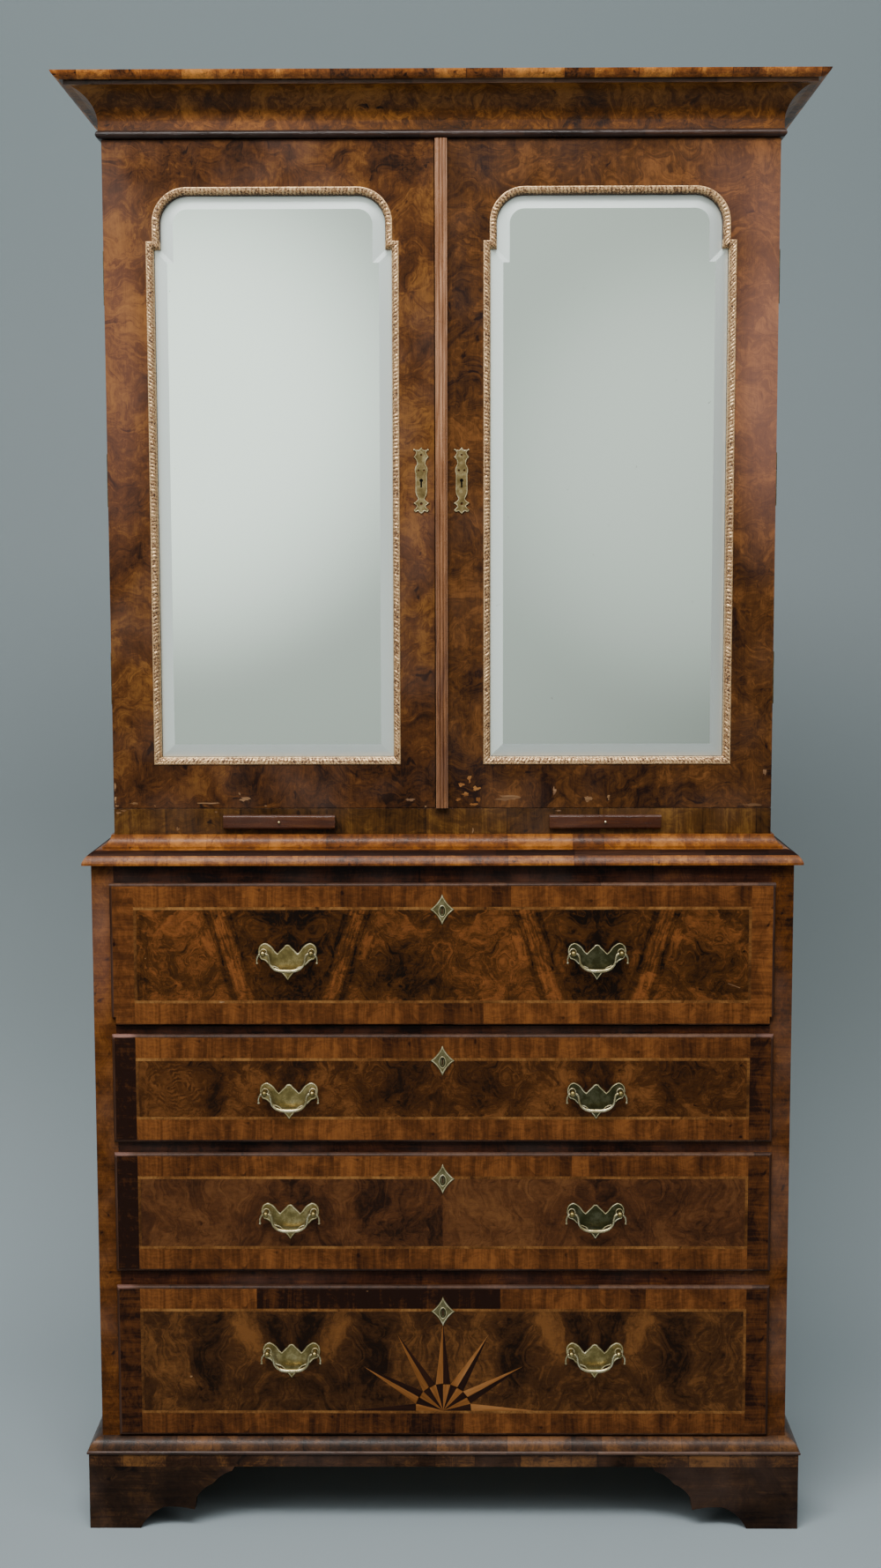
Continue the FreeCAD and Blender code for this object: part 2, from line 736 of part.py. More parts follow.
def loft(name, sections):
    """A ruled solid between two outlines."""
    solid = doc.addObject("Part::Loft", name)
    solid.Sections = sections
    solid.Solid = True
    solid.Ruled = True
    return solid


def mirror_plate(name, side):
    """A mirror with a ground bevel round its edge."""
    bevel_level = slip_back
    face_level = slip_back - d.mirror_bevel_depth
    back_level = door_back - d.door_backboard
    plate = prism(name + "_plate", "front", bevel_level, back_level, pane_outline(side, d.pane_clearance))
    sight = sketch(name + "_sight", "front", bevel_level, pane_outline(side, d.slip_width))
    inner = sketch(name + "_bevel", "front", face_level,
                   pane_outline(side, d.slip_width + d.mirror_bevel))
    raised = loft(name + "_bevelled", [sight, inner])
    node(name + "_door_mirror", [fuse(name + "_mirror_plate", [plate, raised])])


def gilt_slip(name, side):
    """The carved slip round the mirror, a moulded ring that stands a little proud."""
    front = upper_front - d.slip_proud
    step = front + d.slip_step_depth
    body = prism(name + "_slip_body", "front", step, slip_back, pane_outline(side, 0))
    nose = loft(name + "_slip_nose", [
        sketch(name + "_slip_outer_low", "front", step, pane_outline(side, 0)),
        sketch(name + "_slip_outer_high", "front", front, pane_outline(side, d.slip_edge))])
    hole = prism(name + "_slip_hole", "front", step, slip_back, pane_outline(side, d.slip_width))
    mouth = loft(name + "_slip_mouth", [
        sketch(name + "_slip_inner_low", "front", step, pane_outline(side, d.slip_width)),
        sketch(name + "_slip_inner_high", "front", front,
               pane_outline(side, d.slip_width - d.slip_edge))])
    ring = cut(name + "_slip_ring", body, [hole])
    bead = cut(name + "_slip_bead", nose, [mouth])
    node(name + "_gilt_slip", [fuse(name + "_slip", [ring, bead])])


def door_backboard(name, side):
    """The thin board behind the mirror."""
    y = (door_back - d.door_backboard, door_back)
    outline = pane_outline(side, d.pane_clearance)
    node(name + "_door_backboard", [prism(name + "_backboard", "front", y[0], y[1], outline)])


def hinge_levels():
    """The lower end of each door hinge: top, middle and bottom."""
    low = door_low + d.hinge_end_distance
    high = door_top - d.hinge_end_distance - d.hinge_height
    return [low, (low + high) / 2, high]


pivot_x = upper_half + d.barrel_offset
pivot_y = case_front - d.door_gap / 2


def leaf_span(facing):
    """The front and back of a hinge leaf: facing 1 lies on the case, -1 on the door."""
    near = pivot_y + facing * d.leaf_gap / 2
    return mirrored(facing, (facing * near, facing * near + d.leaf_thickness))


def leaf_recess(name, side, level, facing):
    """The housing cut for one hinge leaf."""
    x = mirrored(side, (upper_half - d.leaf_width, upper_half))
    return box(name + "_leaf_recess", x, leaf_span(facing), span(level, d.hinge_height))


KNUCKLE_COUNT = 3


def door_hinges(name, side):
    """Brass butts: the case leaves carry the pins, the door leaves turn on them."""
    case_leaves = []
    door_leaves = []
    third = d.hinge_height / KNUCKLE_COUNT
    for level in hinge_levels():
        leaf_x = mirrored(side, (upper_half - d.leaf_width, pivot_x))
        top = level + d.hinge_height
        pieces = [box(name + "_case_leaf", leaf_x, leaf_span(1), span(level, d.hinge_height))]
        for low, high in ((level, level + third), (top - third, top)):
            pieces.append(rod(name + "_case_knuckle", "z", d.barrel_radius, high - low,
                              side * pivot_x, pivot_y, low))
        clear = (level + third - d.knuckle_gap, top - third + d.knuckle_gap)
        notch_x = mirrored(side, (upper_half, pivot_x + d.barrel_radius))
        y = (pivot_y - d.barrel_radius, pivot_y + d.barrel_radius)
        notch = box(name + "_case_notch", notch_x, y, clear)
        pin = rod(name + "_hinge_pin", "z", d.hinge_pin_radius, d.hinge_height,
                  side * pivot_x, pivot_y, level)
        leaf = cut(name + "_case_leaf_cut", fuse(name + "_case_leaf_whole", pieces), [notch])
        case_leaves.append(fuse(name + "_case_hinge", [leaf, pin]))
        low, high = level + third + d.knuckle_gap, top - third - d.knuckle_gap
        blank = box(name + "_door_leaf", leaf_x, leaf_span(-1), span(level, d.hinge_height))
        x = mirrored(side, (upper_half + d.leaf_gap, pivot_x + d.barrel_radius))
        below = box(name + "_door_notch_low", x, y, (level, low))
        above = box(name + "_door_notch_high", x, y, (high, top))
        leaf = cut(name + "_door_leaf_cut", blank, [below, above])
        knuckle = rod(name + "_door_knuckle", "z", d.barrel_radius, high - low,
                      side * pivot_x, pivot_y, low)
        bore = rod(name + "_knuckle_bore", "z", d.hinge_pin_radius + d.running_clearance,
                   d.hinge_height, side * pivot_x, pivot_y, level)
        whole = fuse(name + "_door_hinge_whole", [leaf, knuckle])
        door_leaves.append(cut(name + "_door_hinge", whole, [bore]))
    return case_leaves, door_leaves


REED_TURN = 150
REED_COUNT = 3


def astragal():
    """The strip of three reeds on the right door's meeting edge."""
    half = d.astragal_width / 2
    reed = (d.astragal_width - 2 * d.reed_land) / REED_COUNT
    root = upper_front - d.astragal_proud + reed / 2
    left = -half + d.reed_land
    corners = [(-half, upper_front), (half, upper_front), (half, root)]
    corners.append((half - d.reed_land, root))
    for number in reversed(range(REED_COUNT)):
        corners.append((left + number * reed, root, -REED_TURN))
    corners.append((-half, root))
    node("door_astragal", [prism("astragal_strip", "plan", door_low, door_top, corners)])


def door_lock():
    """The lock on the back of the right door's meeting stile."""
    x = (-meeting_edge + d.meeting_gap, -meeting_edge + d.meeting_gap + d.door_lock_width)
    z = (keyhole_level - d.door_lock_height / 2, keyhole_level + d.door_lock_height / 2)
    node("door_lock", [box("lock_case", x, span(door_back, d.door_lock_depth), z)])


keyhole_level = door_low + d.keyhole_rise


def keyhole(name, x, z, y):
    """A tool for a keyhole: a round eye over a slot."""
    eye = rod(name + "_eye", "y", d.keyhole_radius, y[1] - y[0], x, y[0], z)
    half = d.keyhole_slot / 2
    slot = box(name + "_slot", (x - half, x + half), y, (z - d.keyhole_height, z))
    return fuse(name, [eye, slot])


# Right half of a door escutcheon, as shares of its half width and half height
DOOR_PLATE_SHARES = (
    (0.0, 1.0, 0), (0.28, 0.91, 30), (0.96, 0.94, 25), (0.6, 0.83, 30), (0.94, 0.7, 30),
    (0.6, 0.6, 35), (0.52, 0.48, 20), (0.78, 0.33, -40), (0.7, 0.2, -40), (0.72, -0.3, 0),
    (0.58, -0.46, -30), (0.4, -0.56, 20), (1.0, -0.68, 30), (0.52, -0.77, 35),
    (0.94, -0.88, 30), (0.68, -0.95, -40), (0.34, -0.92, 30), (0.0, -1.0, -20),
)
# Pierced eyes of the same plate: shares across and up, and the radius as a share of the half width
DOOR_PLATE_EYE_SHARES = (
    (0.0, 0.76, 0.13), (0.0, -0.7, 0.17), (0.34, 0.3, 0.13), (-0.34, 0.3, 0.13),
)


def door_escutcheon(name, side):
    """A pierced leaf-shaped plate with a keyhole."""
    middle = side * d.door_plate_place
    half_width = d.door_plate_width / 2
    half_height = d.door_plate_height / 2
    y = (upper_front - d.plate_thickness, upper_front)
    right = [(middle + a * half_width, keyhole_level + b * half_height, turn)
             for a, b, turn in DOOR_PLATE_SHARES]
    left = []
    for place_in_list in range(len(DOOR_PLATE_SHARES) - 2, -1, -1):
        a, b, _ = DOOR_PLATE_SHARES[place_in_list]
        turn = DOOR_PLATE_SHARES[place_in_list + 1][2]
        left.append((middle - a * half_width, keyhole_level + b * half_height, turn))
    start = left.pop()
    right[0] = (right[0][0], right[0][1], start[2])
    plate = prism(name + "_plate_blank", "front", y[0], y[1], right + left)
    tools = [keyhole(name + "_door_keyhole", middle, keyhole_level, y)]
    for across, up, size in DOOR_PLATE_EYE_SHARES:
        tools.append(rod(name + "_eye", "y", size * half_width, d.plate_thickness,
                         middle + across * half_width, y[0], keyhole_level + up * half_height))
    node(name + "_door_escutcheon", [cut(name + "_plate_pierced", plate, tools)])


# Drawers

# Two places closer than this, in millimetres, are the same place
TOUCH = 0.01


def lipped_front(name, low, high):
    """A drawer front: the part inside the opening, and a lip with a rounded edge over the case."""
    body = doc.addObject("PartDesign::Body", name + "_body")
    plane = [plane for plane in body.Origin.OriginFeatures if plane.Role == "XZ_Plane"][0]
    half = opening_half + d.lip_overlap
    lip = body.newObject("Sketcher::SketchObject", name + "_lip_outline")
    lip.AttachmentSupport = [(plane, "")]
    lip.MapMode = "FlatFace"
    fill_sketch(lip, rectangle((-half, half), (low - d.lip_overlap, high + d.lip_overlap)))
    pad = body.newObject("PartDesign::Pad", name + "_lip")
    pad.Profile = lip
    bind(pad, Length=d.lip_proud)
    doc.recompute()
    front_edges = []
    for number, edge in enumerate(pad.Shape.Edges, start=1):
        if all(abs(vertex.Point.y + d.lip_proud.mm) < TOUCH for vertex in edge.Vertexes):
            front_edges.append("Edge%d" % number)
    rounded = body.newObject("PartDesign::Fillet", name + "_lip_round")
    rounded.Base = (pad, front_edges)
    bind(rounded, Radius=d.lip_round)
    core = body.newObject("Sketcher::SketchObject", name + "_core_outline")
    core.AttachmentSupport = [(plane, "")]
    core.MapMode = "FlatFace"
    gap = d.drawer_clearance
    fill_sketch(core, rectangle((-opening_half + gap, opening_half - gap), (low + gap, high - gap)))
    core_pad = body.newObject("PartDesign::Pad", name + "_core")
    core_pad.Profile = core
    core_pad.Reversed = True
    bind(core_pad, Length=d.drawer_front)
    place(body, 0, lower_front, 0)
    return body


def drawer_box(name, low, high):
    """Sides, back and bottom of a drawer, as separate boards."""
    gap = d.drawer_clearance
    outer = opening_half - gap
    y = (lower_front + d.drawer_front, inner_back - d.drawer_back_gap)
    z = (low, high - d.drawer_side_drop)
    floor = low + d.bottom_rise
    boards = []
    for side_name, side in SIDES:
        x = mirrored(side, (outer - d.drawer_side, outer))
        boards.append(box(name + "_" + side_name, x, y, z))
    inner = outer - d.drawer_side
    boards.append(box(name + "_back", (-inner, inner), (y[1] - d.drawer_side, y[1]), z))
    y_floor = (y[0], y[1] - d.drawer_side)
    boards.append(box(name + "_bottom", (-inner, inner), y_floor, span(floor, d.drawer_bottom)))
    node(name + "_drawer_box", boards)


# Right half of a handle's backplate: across and up as shares of post_place, and the turn of the arc there
PLATE_SHARES = (
    (0.0, 0.33, 0), (0.10, 0.30, -20), (0.19, 0.19, 14), (0.42, -0.05, -12), (0.60, 0.18, 14),
    (0.92, 0.40, -36), (1.21, 0.13, -80), (1.10, -0.30, -50), (0.90, -0.38, 30), (0.66, -0.60, -20),
    (0.43, -0.68, 16), (0.0, -1.17, 12),
)


def mirror_corners(middle, level, scale, shares):
    """A closed outline from its right half, given as shares of one size."""
    right = [(middle + a * scale, level + b * scale, turn) for a, b, turn in shares]
    left = []
    for number in range(len(shares) - 2, 0, -1):
        a, b, _ = shares[number]
        left.append((middle - a * scale, level + b * scale, shares[number + 1][2]))
    right[0] = (right[0][0], right[0][1], shares[1][2])
    return right + left


def handle_fittings(name, face, level):
    """Two backplates with their ball-headed posts, at one height on a drawer front."""
    fittings = []
    post_y = face - d.plate_thickness - d.post_length
    for side_name, side in SIDES:
        middle = side * d.handle_place
        part = name + "_" + side_name
        y = (face - d.plate_thickness, face)
        corners = mirror_corners(middle, level, d.post_place, PLATE_SHARES)
        fittings.append(prism(part + "_backplate", "front", y[0], y[1], corners))
        for post_side in (-1, 1):
            x = middle + post_side * d.post_place
            stem = rod(part + "_stem", "y", d.post_radius, d.post_length, x, post_y, level)
            head = ball(part + "_head", d.ball_radius, x, post_y, level)
            reach = d.ball_radius * 2
            bore = rod(part + "_bore", "x", d.wire_radius + d.running_clearance, reach,
                       x - reach / 2, post_y, level)
            fittings.append(cut(part + "_post", fuse(part + "_post_blank", [stem, head]), [bore]))
    return fittings


# The keyhole's round eye stands this share of its height above the plate's middle
EYE_SHARE = 1 / 3
DIAMOND_TURN = -34


def escutcheon(name, face, level, lock_back):
    """A diamond keyhole plate and the lock behind the front."""
    half_width = d.escutcheon_width / 2
    half_height = d.escutcheon_height / 2
    corners = [(0, level + half_height, DIAMOND_TURN), (-half_width, level, DIAMOND_TURN),
               (0, level - half_height, DIAMOND_TURN), (half_width, level, DIAMOND_TURN)]
    y = (face - d.plate_thickness, face)
    blank = prism(name + "_diamond_blank", "front", y[0], y[1], corners)
    eye_level = level + EYE_SHARE * d.keyhole_height
    plate = cut(name + "_diamond", blank, [keyhole(name + "_keyhole", 0, eye_level, y)])
    half = d.drawer_lock_width / 2
    z = (level - d.drawer_lock_height / 2, level + d.drawer_lock_height / 2)
    lock = box(name + "_lock", (-half, half), span(lock_back, d.drawer_lock_depth), z)
    return [plate, lock]


def bail(label, middle, face, level):
    """A swan-neck bail that hangs in the heads of two posts."""
    y = face - d.plate_thickness - d.post_length
    outer = d.post_place + d.pin_half
    tail = outer + d.tail_turn_radius
    inner = d.post_place - d.pin_half
    side_x = inner - d.neck_turn_radius
    curve = side_x - d.bail_turn_radius
    low = level - d.bail_drop
    neck = level - d.neck_turn_radius
    left = [
        (-tail, level - d.tail_turn_radius - d.tail_length), (-tail, level - d.tail_turn_radius),
        (-outer, level, -QUARTER_TURN), (-inner, level), (-side_x, neck, -QUARTER_TURN),
        (-side_x, low + d.bail_turn_radius), (-curve, low, QUARTER_TURN),
    ]
    right = []
    turn = ()
    for x, z, *own_turn in reversed(left):
        right.append((-x, z) + tuple(turn))
        turn = own_turn
    corners = [(middle + corner[0],) + tuple(corner[1:]) for corner in left + right]
    path = sketch(label + "_path", "front", y, corners, closed=False)
    section = doc.addObject("Part::Circle", label + "_section")
    bind(section, Radius=d.wire_radius)
    place(section, middle - tail, y, corners[0][1])
    wire = doc.addObject("Part::Sweep", label + "_wire")
    wire.Sections = [section]
    wire.Spine = (path, ["Edge%d" % number for number in range(1, len(corners))])
    wire.Solid = True
    node(label, [wire])


# Name, lower edge of the opening, its height, and the handle's height as a share of it
LONG_DRAWERS = (
    ("bottom", bottom_opening, d.bottom_opening_height, 0.571),
    ("middle", middle_opening, d.middle_opening_height, 0.509),
    ("upper", upper_opening, d.upper_opening_height, 0.473),
)
DESK_HANDLE_SHARE = 0.5375
lip_face = lower_front - d.lip_proud


def long_drawers():
    """Three long drawers, each with its box, front, brasses and two bails."""
    for name, low, height, handle_share in LONG_DRAWERS:
        high = low + height
        node(name + "_drawer_front", [lipped_front(name, low, high)])
        drawer_box(name, low, high)
        level = low + handle_share * height
        lock_level = high + d.lip_overlap - d.escutcheon_drop
        fittings = handle_fittings(name, lip_face, level)
        fittings += escutcheon(name, lip_face, lock_level, lower_front + d.drawer_front)
        node(name + "_drawer_brasses", fittings)
        for side_name, side in SIDES:
            bail("%s_drawer_%s_bail" % (name, side_name), side * d.handle_place, lip_face, level)


# Secretaire drawer

fall_axis_y = lip_face + d.fall_thickness / 2
fall_axis_z = desk_opening + d.drawer_clearance + d.fall_thickness / 2
fall_back = lip_face + d.fall_thickness
bed_top = fall_axis_z + d.fall_thickness / 2
desk_half = opening_half - d.drawer_clearance
desk_inside = desk_half - d.desk_side
desk_back = inner_back - d.drawer_back_gap
gallery_front = desk_back - d.desk_side - d.gallery_depth


def desk_box():
    """Sides, back and writing bed of the deep top drawer."""
    y = (fall_back + d.desk_front_gap, desk_back)
    z = (desk_opening, top_rail - d.desk_side_drop)
    boards = []
    for name, side in SIDES:
        boards.append(box(name + "_desk_side", mirrored(side, (desk_inside, desk_half)), y, z))
    x = (-desk_inside, desk_inside)
    boards.append(box("desk_back", x, (desk_back - d.desk_side, desk_back), z))
    y = (y[0], desk_back - d.desk_side)
    boards.append(box("writing_bed", x, y, (bed_top - d.desk_bed, bed_top)))
    node("secretaire_drawer_box", boards)


def hinge_places():
    """The middle of each hinge along the fall."""
    return [-d.fall_hinge_place, 0, d.fall_hinge_place]


def fall_front():
    """The fall: a board that turns on its round lower edge, with lips planted round it."""
    radius = d.fall_thickness / 2
    top = top_rail - d.drawer_clearance
    lip_top = top_rail + d.lip_overlap
    lip_back = lower_front - d.fall_lip_gap
    half = opening_half + d.lip_overlap
    profile = [(fall_back, fall_axis_z, HALF_TURN), (fall_back, top), (lip_face, top),
               (lip_face, fall_axis_z)]
    board = prism("fall_board", "side", -desk_half, desk_half, profile)
    profile = [(lip_back, top), (lip_back, lip_top), (lip_face + d.lip_round, lip_top),
               (lip_face, lip_top - d.lip_round, QUARTER_TURN), (lip_face, top)]
    lips = [prism("fall_top_lip", "side", -half, half, profile)]
    for name, side in SIDES:
        corners = [(side * desk_half, lip_back), (side * desk_half, lip_face),
                   (side * (half - d.lip_round), lip_face),
                   (side * half, lip_face + d.lip_round, side * QUARTER_TURN),
                   (side * half, lip_back)]
        low = fall_axis_z + d.fall_lip_start
        lips.append(prism(name + "_fall_lip", "plan", low, top, corners))
    slots = []
    for middle in hinge_places():
        half = d.knuckle_width / 2 + d.knuckle_slot_clearance
        reach = d.knuckle_radius + d.knuckle_slot_clearance
        slots.append(box("hinge_slot", (middle - half, middle + half), (fall_axis_y - reach, fall_back),
                         (fall_axis_z - radius, fall_axis_z + reach)))
        slots.append(rod("hinge_pin_hole", "x", d.fall_pin_radius, d.fall_pin_length,
                         middle - d.fall_pin_length / 2, fall_axis_y, fall_axis_z))
    node("fall_front", [cut("fall_slotted", board, slots)] + lips)


def fall_hinges():
    """Knuckles on the bed's front edge, and the pins that join them to the fall."""
    knuckles = []
    pins = []
    bed_front = fall_back + d.desk_front_gap
    for middle in hinge_places():
        half = d.knuckle_width / 2
        x = (middle - half, middle + half)
        eye = rod("fall_knuckle_eye", "x", d.knuckle_radius, d.knuckle_width,
                  x[0], fall_axis_y, fall_axis_z)
        arm = box("fall_knuckle_arm", x, (fall_axis_y, bed_front),
                  (bed_top - d.desk_bed, fall_axis_z + d.knuckle_arm))
        bore = rod("fall_knuckle_bore", "x", d.fall_pin_radius + d.running_clearance, d.knuckle_width,
                   x[0], fall_axis_y, fall_axis_z)
        knuckles.append(cut("fall_knuckle", fuse("fall_knuckle_blank", [eye, arm]), [bore]))
        pins.append(rod("fall_pin", "x", d.fall_pin_radius, d.fall_pin_length,
                        middle - d.fall_pin_length / 2, fall_axis_y, fall_axis_z))
    node("fall_hinge_knuckles", knuckles)
    return pins


STAY_START_TURN = 8
stay_radius = d.desk_opening_height - d.stay_drop


def stay_corner(radius, angle):
    """A point of the quadrant, by its radius and its angle about the fall's axis."""
    return (fall_axis_y + math.cos(math.radians(angle)) * radius,
            fall_axis_z + math.sin(math.radians(angle)) * radius)


def fall_stays(pins):
    """Brass quadrants that run beside the drawer's sides and hold the fall level."""
    pieces = list(pins)
    outer = stay_radius + d.stay_width / 2
    inner = stay_radius - d.stay_width / 2
    face_share = (d.fall_thickness / 2).mm
    for name, side in SIDES:
        x_out = desk_inside - d.stay_side_gap
        x = mirrored(side, (x_out - d.stay_thickness, x_out))
        end_out = math.degrees(math.acos(face_share / outer.mm))
        end_in = math.degrees(math.acos(face_share / inner.mm))
        corners = [
            stay_corner(outer, STAY_START_TURN),
            stay_corner(outer, end_out) + (end_out - STAY_START_TURN,),
            stay_corner(inner, end_in),
            stay_corner(inner, STAY_START_TURN) + (STAY_START_TURN - end_in,),
        ]
        arc = prism(name + "_stay_arc", "side", x[0], x[1], corners)
        foot_x = mirrored(side, (x_out - d.stay_foot_width, x_out))
        middle = fall_axis_z + stay_radius
        half = d.stay_foot_height / 2
        foot = box(name + "_stay_foot", foot_x, span(fall_back, d.stay_foot_thickness),
                   (middle - half, middle + half))
        pieces.append(fuse(name + "_stay", [arc, foot]))
    node("fall_stays", pieces)


def fall_brasses():
    """Backplates, posts, keyhole plate and lock of the fall, and its two bails."""
    level = desk_opening + DESK_HANDLE_SHARE * d.desk_opening_height
    lock_level = top_rail + d.lip_overlap - d.escutcheon_drop
    fittings = handle_fittings("fall", lip_face, level)
    fittings += escutcheon("fall", lip_face, lock_level, fall_back)
    node("fall_brasses", fittings)
    for side_name, side in SIDES:
        bail("fall_%s_bail" % side_name, side * d.handle_place, lip_face, level)


SMALL_DRAWER_COUNT = 4
HOLES_PER_DRAWER = 2
bay = (2 * (desk_inside - d.gallery_side_gap) - d.gallery_board) / SMALL_DRAWER_COUNT
gallery_left = -desk_inside + d.gallery_side_gap
shelf_low = bed_top + d.gallery_board + d.small_drawer_height


def gallery():
    """Uprights, shelves and top of the pigeonholes over the four small drawers."""
    boards = []
    y = (gallery_front, desk_back - d.desk_side)
    top = bed_top + d.gallery_height
    x = (gallery_left, -gallery_left)
    for low in (bed_top, shelf_low, top - d.gallery_board):
        boards.append(box("gallery_shelf", x, y, span(low, d.gallery_board)))
    drawer_z = (bed_top + d.gallery_board, shelf_low)
    hole_z = (shelf_low + d.gallery_board, top - d.gallery_board)
    for number in range(SMALL_DRAWER_COUNT + 1):
        x = span(gallery_left + number * bay, d.gallery_board)
        boards.append(box("drawer_upright", x, y, drawer_z))
    for number in range(SMALL_DRAWER_COUNT * HOLES_PER_DRAWER + 1):
        x = span(gallery_left + number * bay / HOLES_PER_DRAWER, d.gallery_board)
        boards.append(box("hole_upright", x, y, hole_z))
    node("pigeonhole_gallery", boards)


def small_drawer(number):
    """A gallery drawer with a turned knob."""
    gap = d.small_drawer_clearance
    low_x = gallery_left + number * bay + d.gallery_board + gap
    x = (low_x, low_x + bay - d.gallery_board - 2 * gap)
    low = bed_top + d.gallery_board
    z = (low, shelf_low - gap)
    y = (gallery_front, desk_back - d.desk_side - gap)
    wall = d.small_drawer_wall
    inside = (y[0] + d.small_drawer_front, y[1] - wall)
    boards = [
        box("small_front", x, (y[0], inside[0]), z),
        box("small_left", span(x[0], wall), (inside[0], y[1]), z),
        box("small_right", (x[1] - wall, x[1]), (inside[0], y[1]), z),
        box("small_back", (x[0] + wall, x[1] - wall), (inside[1], y[1]), z),
        box("small_bottom", (x[0] + wall, x[1] - wall), inside, span(low, wall)),
    ]
    middle = (x[0] + x[1]) / 2
    level = (z[0] + z[1]) / 2
    neck = rod("knob_neck", "y", d.knob_neck_radius, d.knob_length - d.knob_radius,
               middle, y[0] - d.knob_length + d.knob_radius, level)
    head = ball("knob_head", d.knob_radius, middle, y[0] - d.knob_length + d.knob_radius, level)
    boards.append(fuse("small_knob", [neck, head]))
    node("gallery_drawer_%d" % (number + 1), boards)


def door(name, side):
    """Everything that swings with one door."""
    door_frame(name, side)
    mirror_plate(name, side)
    gilt_slip(name, side)
    door_backboard(name, side)
    door_escutcheon(name, side)
    case_leaves, door_leaves = door_hinges(name, side)
    node(name + "_door_hinge_leaves", door_leaves)
    return case_leaves


def build():
    """Builds every piece, from the feet up."""
    bracket_feet()
    plinth_frame()
    base_moulding()
    lower_sides()
    lower_boards()
    front_rails()
    drawer_runners()
    back_boards("lower_back_boards", lower_inside, plinth_top, waist_low)
    long_drawers()
    desk_box()
    gallery()
    for number in range(SMALL_DRAWER_COUNT):
        small_drawer(number)
    fall_front()
    fall_stays(fall_hinges())
    fall_brasses()
    waist_moulding()
    upper_sides()
    upper_boards()
    back_boards("upper_back_boards", upper_inside, waist_low, crown - d.roof_recess)
    shelves()
    candle_slide_rail()
    for name, side in SIDES:
        candle_slide(name, side)
    cornice()
    case_leaves = []
    for name, side in SIDES:
        case_leaves += door(name, side)
    astragal()
    door_lock()
    node("case_hinge_leaves", case_leaves)


def check():
    """Stops when any object failed or a piece has no valid shape."""
    for thing in doc.Objects:
        if "Invalid" in thing.State or "Error" in thing.State:
            raise RuntimeError("failed: %s %s %s" % (thing.Name, thing.Label, thing.State))
    for piece in nodes:
        if piece.Shape.isNull() or not piece.Shape.isValid() or not piece.Shape.Solids:
            raise RuntimeError("no valid shape: " + piece.Label)


build()
doc.recompute()
check()
os.makedirs("parts", exist_ok=True)
for piece in nodes:
    piece.Shape.exportStep(os.path.join("parts", piece.Label + ".step"))
print("%d pieces written" % len(nodes))
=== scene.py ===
from math import cos, hypot, pi, radians, sin
from random import Random
import bpy
from mathutils import Matrix, Vector


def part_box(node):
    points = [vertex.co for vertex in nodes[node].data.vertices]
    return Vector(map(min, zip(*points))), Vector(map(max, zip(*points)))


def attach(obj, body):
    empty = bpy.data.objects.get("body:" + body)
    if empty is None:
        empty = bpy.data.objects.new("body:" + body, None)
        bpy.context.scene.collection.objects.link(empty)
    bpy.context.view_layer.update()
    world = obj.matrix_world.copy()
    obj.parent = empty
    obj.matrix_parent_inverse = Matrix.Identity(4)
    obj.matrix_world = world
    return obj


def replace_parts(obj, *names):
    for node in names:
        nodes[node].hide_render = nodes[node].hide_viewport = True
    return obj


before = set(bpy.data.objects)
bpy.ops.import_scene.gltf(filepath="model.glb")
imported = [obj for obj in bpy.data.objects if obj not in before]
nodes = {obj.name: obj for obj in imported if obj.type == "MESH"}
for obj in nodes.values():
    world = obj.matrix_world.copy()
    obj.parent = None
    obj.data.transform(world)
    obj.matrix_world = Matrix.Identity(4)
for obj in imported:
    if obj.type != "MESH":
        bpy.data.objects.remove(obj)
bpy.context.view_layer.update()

mm = 0.001

# Studio
# A plain pale floor that curves up into a backdrop, clear from behind so that the back can be seen,
# one large soft lamp high in front, weaker ones on each side and behind, and an even sky. The camera
# stands where the photograph was taken from, three metres in front and 1.4 m up, looking a little down.
# The paper is paler on the floor than on the wall, and painted darker from 1.2 m up to 2.6 m: painted shade
# towards the top of the backdrop.
floor_tint = (0.300, 0.350, 0.375, 1)
wall_tint = (0.250, 0.290, 0.303, 1)
upper_tint = (0.196, 0.236, 0.247, 1)
sheet_front, sheet_back, sheet_top, sheet_half, sheet_curve = -3.2, 1.35, 3.6, 5.5, 0.9
curve_steps = 12


class Flow:
    """What comes out of a node, numbers or vectors, to be added, multiplied and so on like a number."""

    def __init__(self, tree, socket):
        self.tree, self.socket, self.single = tree, socket, socket.type == "VALUE"

    def math(self, how, *others):
        inputs = {0: self, "Scale": others[0]} if how == "SCALE" else dict(enumerate((self, *others)))
        made = add(self.tree, "Math" if self.single else "VectorMath", inputs, operation=how)
        return made[1 if how in ("LENGTH", "DOT_PRODUCT", "DISTANCE") else 0]

    def __add__(self, other):
        return self.math("ADD", other)

    def __sub__(self, other):
        return self.math("SUBTRACT", other)

    def __mul__(self, other):
        single = other.single if isinstance(other, Flow) else isinstance(other, float)
        return self.math("SCALE" if single and not self.single else "MULTIPLY", other)

    def __truediv__(self, other):
        return self.math("DIVIDE", other)

    def __rtruediv__(self, other):
        return add(self.tree, "Math", {0: other, 1: self}, operation="DIVIDE")[0]


def feed(node, inputs):
    """Links what flows to a node's inputs, and sets the others to plain values."""
    for name, value in inputs.items():
        if isinstance(value, Flow):
            value.tree.links.new(value.socket, node.inputs[name])
        else:
            node.inputs[name].default_value = value


def outlets(tree, node):
    return {key: Flow(tree, out) for number, out in enumerate(node.outputs) for key in (number, out.name)}


def add(tree, kind, inputs=None, **settings):
    """Adds a node, and gives back what comes out of it, by number and by name."""
    made = tree.nodes.new("ShaderNode" + kind)
    for name, value in settings.items():
        setattr(made, name, value)
    feed(made, inputs or {})
    return outlets(tree, made)


def eased(value, low, high, start=0.0, end=1.0):
    inputs = {"Value": value, "From Min": low, "From Max": high, "To Min": start, "To Max": end}
    return add(value.tree, "MapRange", inputs, interpolation_type="SMOOTHSTEP")["Result"]


